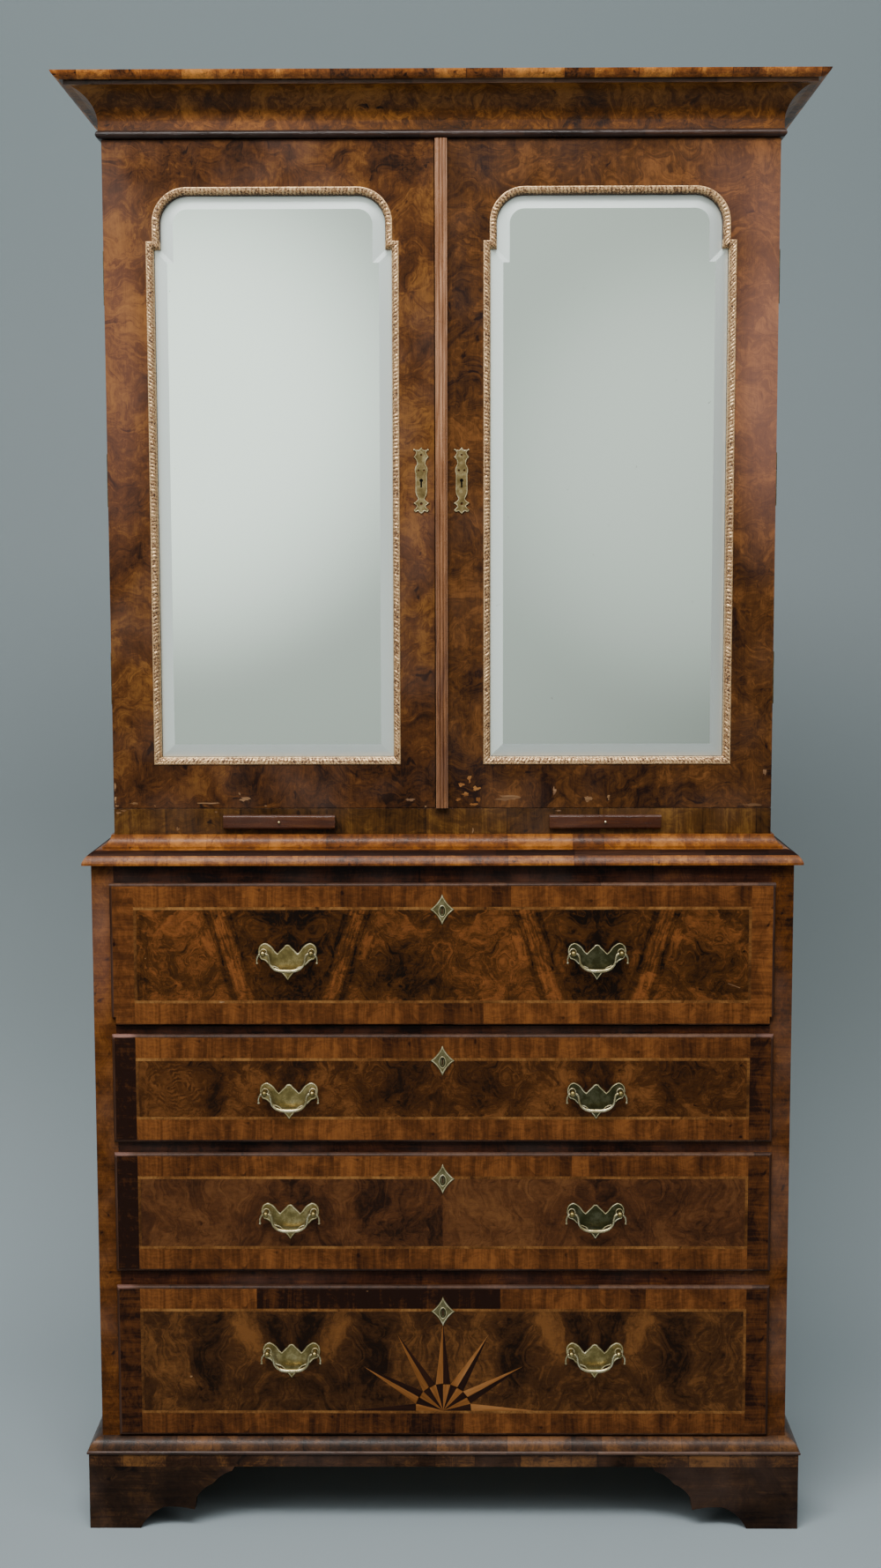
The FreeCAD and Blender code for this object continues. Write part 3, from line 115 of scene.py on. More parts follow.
def tinted(share, first, second, how="MIX"):
    return add(share.tree, "Mix", {0: share, 6: first, 7: second}, data_type="RGBA", blend_type=how)[2]


def in_room(tree):
    return add(tree, "TexCoord")["Object"]


def parts_of(vector):
    return add(vector.tree, "SeparateXYZ", {0: vector})


def blank(name):
    """A new material, its tree and its shader."""
    material = bpy.data.materials.new(name)
    material.use_nodes = True
    return material, material.node_tree, material.node_tree.nodes["Principled BSDF"]


def laid(name, mesh, body=None):
    """Puts a mesh in the scene: it rides on a body of the frame, or is part of the studio without one."""
    piece = bpy.data.objects.new(name, mesh)
    bpy.context.scene.collection.objects.link(piece)
    if body:
        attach(piece, body)
    return piece


def shaped(name, points, faces, material, body=None, smooth=True, grain=None, shade=None):
    """A piece from its points, in metres, and faces, with what its wood needs to know at each point."""
    mesh = bpy.data.meshes.new(name)
    mesh.from_pydata(points, [], faces)
    if smooth:
        mesh.shade_smooth()
    if grain:
        flat = [number for place in grain for number in place]
        mesh.attributes.new("grain", "FLOAT_VECTOR", "POINT").data.foreach_set("vector", flat)
    if shade:
        mesh.attributes.new("shade", "FLOAT", "POINT").data.foreach_set("value", shade)
    mesh.materials.append(material)
    return laid(name, mesh, body)


def backdrop():
    curve_start = sheet_back - sheet_curve
    line = [(sheet_front, 0.0), (curve_start, 0.0)]
    for step in range(1, curve_steps + 1):
        turn = pi / 2 * step / curve_steps
        line.append((curve_start + sheet_curve * sin(turn), sheet_curve - sheet_curve * cos(turn)))
    line.append((sheet_back, sheet_top))
    points = [(side * sheet_half, y, z) for side in (-1, 1) for y, z in line]
    count = len(line)
    faces = [(i, count + i, count + i + 1, i + 1) for i in range(count - 1)]
    paper, tree, shader = blank("studio_paper")
    height = parts_of(in_room(tree))[2]
    wall = tinted(eased(height, 0.0, 0.55), floor_tint, wall_tint)
    feed(shader, {"Base Color": tinted(eased(height, 1.2, 2.6), wall, upper_tint),
                  "Roughness": 0.9, "Specular IOR Level": 0.15})
    either = add(tree, "MixShader", {0: add(tree, "NewGeometry")["Backfacing"], 1: outlets(tree, shader)[0],
                                     2: add(tree, "BsdfTransparent")[0]})
    feed(tree.nodes["Material Output"], {"Surface": either[0]})
    shaped("studio_floor", points, faces, paper)


backdrop()

for name, place, target, width, height, watts in (
        ("lamp_above", (-0.5, -2.4, 4.3), (0, 0, 0.9), 3.2, 1.2, 205),
        ("lamp_left", (-3.0, -2.8, 3.4), (0, 0, 1.0), 1.6, 1.6, 38),
        ("lamp_right", (3.1, -2.8, 3.4), (0, 0, 1.0), 1.6, 1.6, 30),
        ("lamp_behind", (0.9, 3.6, 3.3), (0, 0.2, 1.1), 2.4, 1.4, 100)):
    data = bpy.data.lights.new(name, "AREA")
    data.shape = "RECTANGLE"
    data.size, data.size_y, data.energy = width, height, watts
    lamp = bpy.data.objects.new(name, data)
    lamp.location = place
    lamp.rotation_euler = (Vector(target) - Vector(place)).to_track_quat("-Z", "Y").to_euler()
    bpy.context.scene.collection.objects.link(lamp)

air_strength, air_in_mirrors, air_seen, screens_in_bounced_light = 0.06, 0.12, 0.30, 0.04
# The lit screens behind the camera and the ceiling above it: which way, the cosines at which their
# light starts and is full, and how strong it is.
screens = (((-0.16, -1.0, 0.16), 0.86, 1.0, 0.84), ((-0.135, -0.985, 0.078), 0.990, 0.9998, 1.50),
           ((0.125, -0.99, 0.050), 0.992, 0.9998, 0.45))
ceiling = ((-0.1, -0.45, 1.0), 0.70, 1.0, 1.1)


def studio_air():
    """Even pale light all round, and lit screens behind the camera that the mirrors show."""
    sky = bpy.data.worlds.new("studio_air")
    sky.use_nodes = True
    tree = sky.node_tree
    sight = add(tree, "TexCoord")["Generated"]
    ray = add(tree, "LightPath")
    bounced = add(tree, "MapRange", {"Value": ray["Is Diffuse Ray"], "To Min": 1.0,
                                     "To Max": screens_in_bounced_light})["Result"]
    total = ray["Is Glossy Ray"].math("MULTIPLY_ADD", air_in_mirrors, air_strength)
    for way, start, full, strength in screens + (ceiling,):
        near = sight.math("DOT_PRODUCT", Vector(way).normalized())
        light = eased(near, start, full, 0.0, strength)
        total = light.math("MULTIPLY_ADD", 1.0 if way is ceiling[0] else bounced, total)
    seen = add(tree, "Mix", {0: ray["Is Camera Ray"], 2: total, 3: air_seen})[0]
    feed(tree.nodes["Background"], {"Color": (0.84, 0.90, 0.855, 1), "Strength": seen})
    bpy.context.scene.world = sky


studio_air()

# The lens is told by two heights in pixels: of the whole photograph, and of its focal length.
photo_height, focal_height = 1779, 2256
eye = bpy.data.cameras.new("studio_camera")
eye.sensor_width = 36.0
eye.lens = eye.sensor_width * focal_height / photo_height
camera = bpy.data.objects.new("studio_camera", eye)
camera.location = (0.0185, -3.040, 1.416)
camera.rotation_euler = (radians(90 - 6.0), radians(0.12), radians(0.4))
bpy.context.scene.collection.objects.link(camera)
bpy.context.scene.camera = camera


# Chest case
# Two walnut-veneered pine sides with a facing strip of cross-grained walnut on each front edge,
# rails between the drawers, and plain pine and oak inside. Old wax has left a soft, uneven polish.
def stain(code):
    """A paint-chart colour such as 6B4423 as the linear colour that a shader takes."""
    parts = [int(code[i:i + 2], 16) / 255 for i in (0, 2, 4)]
    return tuple(c / 12.92 if c < 0.04045 else ((c + 0.055) / 1.055) ** 2.4 for c in parts) + (1.0,)


def cloud(place, scale, detail=3.0, rough=0.55, gives="Fac"):
    inputs = {"Vector": place, "Scale": scale, "Detail": detail, "Roughness": rough}
    return add(place.tree, "TexNoise", inputs)[gives]


def waver(place, scale, detail=3.0):
    """A soft random shift, of up to a half either way, in every direction."""
    return cloud(place, scale, detail, gives="Color") - (0.5, 0.5, 0.5)


def effect(name, takes, gives):
    """Starts a shared node group: its tree, what flows into it, and the node that takes its results."""
    tree = bpy.data.node_groups.new(name, "ShaderNodeTree")
    for label, value in takes.items():
        kind = {3: "NodeSocketVector", 4: "NodeSocketColor"}.get(
            len(value) if isinstance(value, tuple) else 1, "NodeSocketFloat")
        tree.interface.new_socket(label, in_out="INPUT", socket_type=kind).default_value = value
    for label, kind in gives.items():
        tree.interface.new_socket(label, in_out="OUTPUT", socket_type="NodeSocket" + kind)
    return tree, outlets(tree, tree.nodes.new("NodeGroupInput")), tree.nodes.new("NodeGroupOutput")


def placed(tree, group, inputs):
    return add(tree, "Group", inputs, node_tree=group)


nowhere = (0.0, 0.0, 0.0)


def fibres_effect():
    """Long fibres and short open pores; the grain runs along the first coordinate, in metres."""
    tree, takes, gives = effect("fibres", {"Place": nowhere, "Fineness": 1.0},
                                {"Streaks": "Float", "Pores": "Float"})
    place, fine = takes["Place"], takes["Fineness"]
    bent = place + cloud(place, 9.0, 2.0, gives="Color") * 0.012
    wide = cloud(bent * (5.0, 90.0, 90.0), fine, 4.0, 0.6)
    thin = cloud(bent * (16.0, 420.0, 420.0), fine, 2.0, 0.5)
    pore = cloud(bent * (60.0, 900.0, 900.0), fine, 1.0, 0.5)
    feed(gives, {"Streaks": eased(wide * 0.7 + thin * 0.3, 0.3, 0.7), "Pores": eased(pore, 0.60, 0.72)})
    return tree


def burl_effect():
    """The rolling figure of burr wood: swirls, contour lines round them and small dark knots."""
    tree, takes, gives = effect("burl", {"Place": nowhere, "Swirl": 0.04, "Roll": 1.0},
                                {"Figure": "Float", "Knots": "Float"})
    start = takes["Place"] * (1.0 / takes["Swirl"])
    for scale, strength in ((0.45, 1.4), (1.1, 0.55), (2.6, 0.2), (6.0, 0.07)):
        start = start + waver(start, scale, 2.0) * (takes["Roll"] * (strength * 2))
    body = cloud(start, 0.7, 6.0, 0.62)
    silk = cloud(start * (11.0, 1.6, 1.6), 1.0, 3.0, 0.6)
    mottle = cloud(takes["Place"], 130.0, 3.0, 0.7)
    contours = (cloud(start, 0.6, 2.0, 0.5) * 40.0).math("SINE")
    figure = body * 0.56 + silk * 0.27 + mottle * 0.17 + contours * 0.005
    eyes = add(tree, "TexVoronoi", {"Vector": start, "Scale": 1.25, "Randomness": 1.0})["Distance"]
    rare = eased(cloud(start, 0.8, 1.0), 0.46, 0.58)
    feed(gives, {"Figure": eased(figure, 0.33, 0.67), "Knots": eased(eyes, 0.22, 0.05) * rare})
    return tree


def patches_effect():
    """Short pieces of veneer laid end to end: one random tone for each, and the dark joint between."""
    tree, takes, gives = effect("patches", {"Run": 0.0, "Length": 0.06},
                                {"Tone": "Float", "Joint": "Float"})
    cell = {"W": takes["Run"] / takes["Length"], "Scale": 1.0, "Randomness": 0.8}
    colour = add(tree, "TexVoronoi", cell, voronoi_dimensions="1D")["Color"]
    edge = add(tree, "TexVoronoi", cell, voronoi_dimensions="1D", feature="DISTANCE_TO_EDGE")["Distance"]
    feed(gives, {"Tone": add(tree, "SeparateColor", {"Color": colour})[0], "Joint": eased(edge, 0.02, 0.0)})
    return tree


def tones_effect():
    """Three stains of one wood, from its darkest figure to its lightest."""
    plain = (0.5, 0.5, 0.5, 1.0)
    tree, takes, gives = effect("tones", {"Mask": 0.5, "Dark": plain, "Middle": plain, "Light": plain},
                                {"Colour": "Color"})
    low = add(tree, "MapRange", {"Value": takes["Mask"], "From Max": 0.5})["Result"]
    high = add(tree, "MapRange", {"Value": takes["Mask"], "From Min": 0.5})["Result"]
    feed(gives, {"Colour": tinted(high, tinted(low, takes["Dark"], takes["Middle"]), takes["Light"])})
    return tree


def old_polish_effect():
    """Three centuries of wax: bloom in blotches, pale dust where a surface faces up, which also paints a
    sheen of the light from above there, and an uneven gloss.
    """
    tree, takes, gives = effect(
        "old_polish", {"Place": nowhere, "Colour": (0.5, 0.5, 0.5, 1.0), "Facing up": 0.0,
                       "Dust and sheen": 0.5, "Bloom": 0.1, "Gloss": 0.4},
        {"Colour": "Color", "Roughness": "Float", "Swell": "Float"})
    small = cloud(takes["Place"], 55.0, 3.0, 0.6)
    bloom = eased(cloud(takes["Place"], 7.0, 3.0), 0.42, 0.72) * takes["Bloom"]
    # Pale dust on faces that look up, which is also a painted sheen of the light from above.
    dust_and_sheen = eased(takes["Facing up"], 0.12, 0.85) * takes["Dust and sheen"] * eased(small, 0.2, 0.75, 0.55, 1.0)
    feed(gives, {"Colour": tinted(dust_and_sheen, tinted(bloom, takes["Colour"], stain("8F7266")), stain("A58D82")),
                 "Roughness": takes["Gloss"] + (small - 0.5) * 0.22 + bloom * 0.5,
                 "Swell": cloud(takes["Place"], 28.0, 1.0)})
    return tree


fibres, burl, patches = fibres_effect(), burl_effect(), patches_effect()
tones, old_polish = tones_effect(), old_polish_effect()


def stained(mask, stains):
    """Colours a mask, which runs from 0 to 1, with three stains from dark to light."""
    dark, middle, light = (stain(code) for code in stains)
    return placed(mask.tree, tones, {"Mask": mask, "Dark": dark, "Middle": middle, "Light": light})["Colour"]


def timber(name, along, stains, swirl=None, roll=1.0, patch=None, uneven=0.5, dust_and_sheen=0.5, bloom=0.1,
           gloss=0.42, shine=0.08, coat=0.0, figure=0.3, fibre=0.6, marks=None, painted_sheen=(), seed=0.0):
    """A stained, waxed wood. Its grain runs along X, Y or Z of the room, or as each leaf was laid."""
    material, tree, shader = blank(name)
    room = in_room(tree)
    if along == "leaf":
        place = add(tree, "Attribute", attribute_name="grain")["Vector"]
    else:
        split = parts_of(room)
        order = {"X": (0, 1, 2), "Y": (1, 2, 0), "Z": (2, 0, 1)}[along]
        place = add(tree, "CombineXYZ", {i: split[order[i]] for i in range(3)})[0]
        place = place + (seed, seed * 0.7, seed * 0.3)
    grain = placed(tree, fibres, {"Place": place})
    if swirl:
        rolled = placed(tree, burl, {"Place": place, "Swirl": swirl, "Roll": roll})
        mask = rolled["Figure"] * (1 - figure) + grain["Streaks"] * figure - rolled["Knots"] * 0.55
    else:
        mask = grain["Streaks"] * fibre + (0.5 - fibre / 2)
    mask = mask + (cloud(room, 3.3, 2.0) - 0.5) * 0.5
    if marks:
        mask = marks(place, mask)
    normal = parts_of(add(tree, "NewGeometry")["Normal"])
    if patch:
        sideways = normal[0].math("ABSOLUTE").math("GREATER_THAN", 0.4)
        split = parts_of(room)
        run = add(tree, "Mix", {0: sideways, 2: split[0], 3: split[1]})[0]
        piece = placed(tree, patches, {"Run": run, "Length": patch})
        mask = mask + (piece["Tone"] - 0.5) * uneven - piece["Joint"] * (uneven * 0.5)
    if along == "leaf":
        mask = mask + add(tree, "Attribute", attribute_name="shade")["Fac"]
    colour = stained(mask - grain["Pores"] * (0.2 * fibre), stains)
    # Painted sheen: soft pale pinkish light added to the colour inside ellipses in the room, standing for
    # reflections of the lamps in the polish.
    for middle, reach, strength in painted_sheen:
        away = ((room - middle) / reach).math("LENGTH")
        colour = tinted(eased(away, 1.0, 0.2) * strength, colour, stain("74544C"), "ADD")
    polish = placed(tree, old_polish, {"Place": place, "Colour": colour, "Facing up": normal[2], "Dust and sheen": dust_and_sheen,
                                       "Bloom": bloom, "Gloss": gloss})
    bump = add(tree, "Bump", {"Strength": 0.35, "Distance": 0.0006,
                              "Height": polish["Swell"] * 1.6 - grain["Pores"]})
    feed(shader, {"Base Color": polish["Colour"], "Roughness": polish["Roughness"],
                  "Specular IOR Level": shine, "Coat Weight": coat, "Coat Roughness": 0.22,
                  "Normal": bump["Normal"]})
    return material


def dress(material, *names, bevel=0.0, crease=32, edge=None):
    """Gives CAD pieces their finish; a bevel, in millimetres, takes the sharpness off their edges."""
    for name in names:
        piece = nodes[name]
        piece.data.materials.clear()
        piece.data.materials.append(material)
        piece.data.shade_smooth()
        piece.data.set_sharp_from_angle(angle=radians(crease))
        if bevel:
            worn = piece.modifiers.new("worn_edges", "BEVEL")
            worn.width = bevel * mm
            worn.segments = 2
            worn.limit_method = "ANGLE"
            worn.angle_limit = radians(40)
            if edge:
                piece.data.materials.append(edge)
                worn.material = 1


def inlay(material, name, inside):
    """Gives another finish to the faces of a piece whose middles, in millimetres, are inside."""
    mesh = nodes[name].data
    mesh.materials.append(material)
    number = len(mesh.materials) - 1
    for face in mesh.polygons:
        middle = face.center / mm
        if inside(middle.x, middle.y, middle.z):
            face.material_index = number


def toned(*zones):
    """Darkens a wood across the room: along which axis, from where to where in metres, and how much."""
    def marks(place, mask):
        room = parts_of(in_room(mask.tree))
        for axis, start, end, change in zones:
            mask = mask - eased(room[axis], start, end) * change
        return mask
    return marks


# The left facing strip has a painted sheen of pale light at about 0.86 m up.
facing = timber(
    "facing_walnut", "X", ("1E0F07", "562F10", "7C4A1E"), uneven=0.35, swirl=0.025, roll=0.7, figure=0.35,
    fibre=0.4, dust_and_sheen=0.25, bloom=0.2, painted_sheen=(((-0.50, -0.19, 0.86), (0.03, 0.1, 0.12), 0.3),),
    marks=toned((0, 0.3, 0.5, 0.13)))
# The rails between the drawers are stained very dark, and darker again towards the top: painted shade behind
# the drawer lips and under the waist moulding.
rail_shaded = timber(
    "rail_walnut", "X", ("120806", "3C1E10", "6A3E1C"), patch=0.16, uneven=0.3, swirl=0.03, roll=0.4,
    figure=0.4, dust_and_sheen=0.2, marks=toned((2, 0.4, 0.58, 0.2), (2, 0.7, 0.97, 0.04)))
side_walnut = timber("side_walnut", "Z", ("381F11", "70421F", "9C6230"), swirl=0.16, roll=0.5, figure=0.6)
pine = timber("old_pine", "Z", ("6A4A2A", "9C7547", "B9925E"), dust_and_sheen=0.2, gloss=0.7, bloom=0.3)
oak = timber("quartered_oak", "X", ("5E4124", "8E6A3D", "AC8753"), dust_and_sheen=0.25, gloss=0.62, bloom=0.2)
oak_deep = timber("oak_runners", "Y", ("4E361E", "7E5C34", "9C7848"), dust_and_sheen=0.2, gloss=0.66)
rail_half = 478
dress(facing, "front_rails")
inlay(rail_shaded, "front_rails", lambda x, y, z: abs(x) < rail_half)
dress(side_walnut, "lower_side_panels")
dress(oak, "lower_carcase_boards")
dress(oak_deep, "drawer_runners")


def boarded(place, mask):
    """The backs are of boards some 160 mm wide, each of its own shade, with open joints between."""
    count = (parts_of(in_room(mask.tree))[0] + 1.0) * 6.3
    tone = add(mask.tree, "TexWhiteNoise", {"W": count.math("FLOOR")}, noise_dimensions="1D")[0]
    off = (count.math("FRACT") - 0.5).math("ABSOLUTE")
    return mask + (tone - 0.5) * 0.4 - eased(off, 0.484, 0.495) * 1.2


back_pine = timber(
    "back_pine", "Z", ("5E4226", "96703C", "B89056"), dust_and_sheen=0.3, gloss=0.7, bloom=0.3, marks=boarded)
dress(back_pine, "lower_back_boards")

# Base
# Bracket feet cut to a double scroll from dark walnut, a plinth frame that rests on them, and a
# moulding of short cross-grained pieces glued round it, dusty along its rounded top, where the pale dust is
# also a painted sheen.
# The left foot has a faint painted sheen of pale light.
foot_walnut = timber(
    "foot_walnut", "X", ("130B08", "2A1B11", "4F331C"), swirl=0.05, figure=0.4, dust_and_sheen=0.25, gloss=0.5,
    painted_sheen=(((-0.30, -0.2, 0.07), (0.05, 0.2, 0.05), 0.12),), marks=toned((0, 0.0, 0.3, 0.22)))
plinth_walnut = timber(
    "plinth_walnut", "X", ("150C07", "372215", "714A26"), swirl=0.028, patch=0.06, fibre=0.4, dust_and_sheen=0.3)
base_cross = timber(
    "base_cross_walnut", "Z", ("150B06", "3F2614", "6B4524"), patch=0.05, uneven=0.6, swirl=0.02, fibre=0.4,
    dust_and_sheen=0.04, bloom=0.0, gloss=0.36, shine=0.2)
base_bead = timber(
    "base_bead_walnut", "X", ("1B0E09", "3E271B", "664837"), patch=0.12, dust_and_sheen=0.12, gloss=0.34, shine=0.3)
base_bead_top = 120
dress(foot_walnut, "bracket_feet")
dress(plinth_walnut, "plinth_frame")
dress(base_cross, "base_moulding")
inlay(base_bead, "base_moulding", lambda x, y, z: z < base_bead_top)

# Waist moulding
# The moulding between chest and cupboard, cross-grained like the base but rubbed to a bright brown
# by three centuries of elbows.
waist_cross = timber(
    "waist_cross_walnut", "Z", ("3A1B09", "6F3D14", "A36527"), patch=0.05, uneven=0.45, swirl=0.022, roll=0.8,
    fibre=0.4, dust_and_sheen=0.0, bloom=0.0, gloss=0.34, shine=0.2)
# The quirk between the two parts of the moulding is a very dark band: painted shade, with the grime that
# gathers there.
waist_quirk_shade = timber(
    "waist_quirk_shade_walnut", "X", ("140805", "26120A", "3E2416"), patch=0.1, dust_and_sheen=0.0, bloom=0.0, gloss=0.5)
dress(waist_cross, "waist_moulding")
line_low, line_high = 1011.5, 1019
inlay(waist_quirk_shade, "waist_moulding", lambda x, y, z: line_low < z < line_high)

# Drawer fronts
# Each front is a pine board with a moulded walnut lip. On it lie a border of cross-grained walnut,
# a light string inside the border, and a field of four burr leaves opened like a book at the
# middle and again at each handle. The bottom drawer has a sunburst of dark and light wedges.
lip_face = -192.0 * mm
lip_half = 483.5 * mm
lip_round = 4.0 * mm
border_width = 34.5 * mm
string_width = 4.2 * mm
leaf_width = 225.0 * mm
key_half = 3.3 * mm
key_drop = 38.0 * mm
leaf_drift = 4.0 * mm
# The foot of the fall has no lip at its ends, so that it can turn between the stiles.
fall_foot_half = 476.7 * mm
fall_lip_foot = 775.3 * mm


def veneer(name, body, leaves, material, proud):
    """Thin sheets laid on a front. A leaf is its outline in x and z, its shade, and how it lies:
    the point its grain is measured from, the turn of its grain, and -1 where it was flipped over."""
    points, faces, grain, shade = [], [], [], []
    for number, (outline, tone, origin, turn, flip) in enumerate(leaves):
        first = len(points)
        count = len(outline)
        for depth in (lip_face - proud, lip_face + 0.0001):
            for x, z in outline:
                points.append((x, depth, z))
                u, v = flip * (x - origin[0]), z - origin[1]
                grain.append((u * cos(turn) + v * sin(turn), v * cos(turn) - u * sin(turn), origin[2]))
                shade.append(tone)
        faces.append(tuple(range(first, first + count)))
        for i in range(count):
            j = (i + 1) % count
            faces.append((first + j, first + i, first + count + i, first + count + j))
    shaped(name, points, faces, material, body, False, grain, shade)


def strip(x0, x1, z0, z1):
    return [(x0, z0), (x1, z0), (x1, z1), (x0, z1)]


def notched(x0, x1, z0, z1, top):
    """A strip with a slot for the key cut up into its lower edge at the middle of the front."""
    return [(x0, z0), (-key_half, z0), (-key_half, top), (key_half, top), (key_half, z0), (x1, z0), (x1, z1),
            (x0, z1)]


def streak_effect():
    """A soft-edged band of other figure between two points of a leaf."""
    tree, takes, gives = effect(
        "streak", {"Place": nowhere, "From": nowhere, "To": (0.0, 0.1, 0.0), "Width": 0.02, "Waver": 0.02},
        {"Mask": "Float", "Grain": "Float"})
    flat = takes["Place"] * (1.0, 1.0, 0.0) + waver(takes["Place"], 22.0) * takes["Waver"]
    away = flat * (1.0, 1.0, 0.0) - takes["From"]
    span = takes["To"] - takes["From"]
    share = add(tree, "Clamp", {"Value": away.math("DOT_PRODUCT", span) / span.math("DOT_PRODUCT", span)})[0]
    near = away.math("DISTANCE", span * share)
    strands = add(tree, "CombineXYZ", {0: share * 3.0, 1: near * 330.0})[0]
    feed(gives, {"Mask": eased(near / takes["Width"], 1.0, 0.25),
                 "Grain": eased(cloud(strands, 1.0, 2.0), 0.35, 0.65, 0.45, 1.3)})
    return tree


streak = streak_effect()


def growth_eye_effect():
    """Growth rings seen end on, as round a knot that the saw just missed."""
    tree, takes, gives = effect(
        "growth_eye", {"Place": nowhere, "Middle": nowhere, "Reach": 0.04, "Pitch": 0.006},
        {"Rings": "Float", "Share": "Float"})
    squeeze = (0.62, 1.0, 0.0)
    flat = takes["Place"] * squeeze + waver(takes["Place"], 38.0) * 0.030
    away = (flat * (1.0, 1.0, 0.0)).math("DISTANCE", takes["Middle"] * squeeze)
    share = eased(away / takes["Reach"], 1.0, 0.35)
    wave = (away / takes["Pitch"] * (2 * pi)).math("SINE")
    broken = eased(cloud(takes["Place"], 60.0, 3.0), 0.42, 0.6)
    feed(gives, {"Rings": wave * share * broken, "Share": share})
    return tree


growth_eye = growth_eye_effect()
strand_limit = 18


def on_leaf(place, number):
    """1 on one leaf of a front and 0 on the others, by the level in the wood at which each was cut."""
    return parts_of(place)[2].math("COMPARE", number * leaf_drift, leaf_drift / 2)


def with_streaks(*streaks):
    """Lightens or darkens bands of a leaf: from and to (x, z), width and waver in millimetres, change of
    tone, and which leaf alone. Narrow bands are of separate strands."""
    def marks(place, mask):
        for x0, z0, x1, z1, width, shift, change, *only in streaks:
            made = placed(mask.tree, streak, {
                "Place": place, "From": (x0 * mm, z0 * mm, 0.0), "To": (x1 * mm, z1 * mm, 0.0),
                "Width": width * mm, "Waver": shift * mm})
            share = made["Mask"] * change
            if width < strand_limit:
                share = share * made["Grain"]
            if only:
                share = share * on_leaf(place, only[0])
            mask = mask + share
        return mask
    return marks


def with_eye(x, z, reach, leaf_number, marks):
    """Adds one growth eye, on one leaf, to the bands of a leaf."""
    def more(place, mask):
        mask = marks(place, mask)
        here = on_leaf(place, leaf_number)
        made = placed(mask.tree, growth_eye, {
            "Place": place, "Middle": (x * mm, z * mm, 0.0), "Reach": reach * mm})
        calm = add(mask.tree, "Mix", {0: made["Share"] * (here * 0.6), 2: mask, 3: 0.58})[0]
        return calm + made["Rings"] * (here * 0.26)
    return more


def moving(front):
    """The body that a front moves with."""
    return "fall" if front == "fall_front" else front.replace("_front", "")


def front_levels(node):
    low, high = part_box(node)
    return low.z, high.z


# Leaf coordinates run from the middle of the front (or its end) to the handle, 0 to 225 mm, and up
# from the lower edge of the field. The leaves are 0 to 3 from left to right.
fields = {
    "fall_front": dict(
        stains=("110804", "48290F", "7E4922"), swirl=0.034, roll=1.3, marks=with_streaks(
        (116, 150, 166, -10, 17.5, 10, 0.36), (101, 150, 150, -10, 7, 12, -0.30),
        (132, 150, 183, -10, 6.5, 14, -0.26), (215, 20, 215, 130, 75, 80, -0.33),
        (52, 20, 60, 60, 50, 70, -0.16, 1), (30, 100, 90, 100, 40, 50, 0.14),
        (14, 0, 14, 130, 14, 30, -0.22, 0), (50, 30, 70, 90, 55, 70, -0.08, 3),
        (60, 30, 100, 50, 45, 60, 0.20, 2))),
    "upper_drawer_front": dict(
        stains=("1A0D06", "44260F", "714521"), swirl=0.036, roll=1.3,
        marks=with_eye(62, 46, 48, 0, with_streaks(
        (100, 75, 115, 30, 30, 70, -0.30, 0), (67, 30, 42, 70, 32, 70, -0.22, 1),
        (67, 30, 42, 70, 32, 70, -0.20, 2), (200, 10, 225, 75, 34, 60, -0.22),
        (50, 30, 75, 50, 44, 40, 0.22, 0), (105, 70, 130, 20, 32, 70, -0.22, 3),
        (145, 30, 160, 60, 34, 40, 0.22)))),
    "middle_drawer_front": dict(
        stains=("21120A", "4F2E18", "6D4525"), swirl=0.052, roll=0.9, marks=with_streaks(
        (142, 90, 146, 30, 30, 50, 0.30, 1), (105, 75, 110, 50, 36, 60, -0.10, 1),
        (215, 0, 220, 90, 40, 60, -0.10), (40, 20, 140, 70, 60, 60, 0.16, 0),
        (20, 20, 100, 70, 60, 60, 0.16, 2))),
    "bottom_drawer_front": dict(
        stains=("190D06", "452913", "724823"), swirl=0.050, roll=0.85, marks=with_streaks(
        (100, 160, 104, -20, 30, 40, -0.25), (155, 130, 215, 30, 36, 50, 0.20),
        (40, 30, 60, 130, 44, 60, 0.18), (50, 110, 40, 50, 42, 60, -0.26, 3),
        (205, 15, 225, 50, 44, 60, -0.24), (205, 100, 185, 130, 34, 60, -0.20))),
}
# Border pieces, left to right: where each ends and its shade, for the top and the bottom border, then
# the shades of the left and the right end borders.
borders = {
    "fall_front": (
        ((-0.3, 0.02), (-0.12, 0.06), (0.1, -0.02), (0.27, 0.08), (0.5, -0.02)),
        ((-0.33, 0.05), (-0.19, 0.0), (0.06, 0.05), (0.2, 0.16), (0.36, 0.06), (0.5, 0.12)), -0.04, 0.2),
    "upper_drawer_front": (
        ((-0.39, 0.12), (-0.28, 0.0), (0.17, 0.03), (0.33, 0.1), (0.5, 0.0)),
        ((-0.32, 0.12), (-0.25, -0.04), (-0.13, 0.1), (0.12, 0.06), (0.31, 0.14), (0.5, 0.05)), -0.62, -0.3),
    "middle_drawer_front": (
        ((-0.16, -0.02), (-0.02, 0.13), (0.19, 0.03), (0.215, 0.14), (0.5, 0.0)),
        ((-0.28, 0.05), (-0.05, 0.08), (0.2, 0.16), (0.35, 0.1), (0.5, 0.18)), -0.56, -0.22),
    "bottom_drawer_front": (
        ((-0.276, 0.12), (0.085, -0.48), (0.3, 0.02), (0.5, 0.08)),
        ((-0.2, -0.05), (-0.05, -0.2), (0.03, -0.3), (0.16, 0.03), (0.34, -0.07), (0.5, -0.04)), -0.3, -0.26),
}
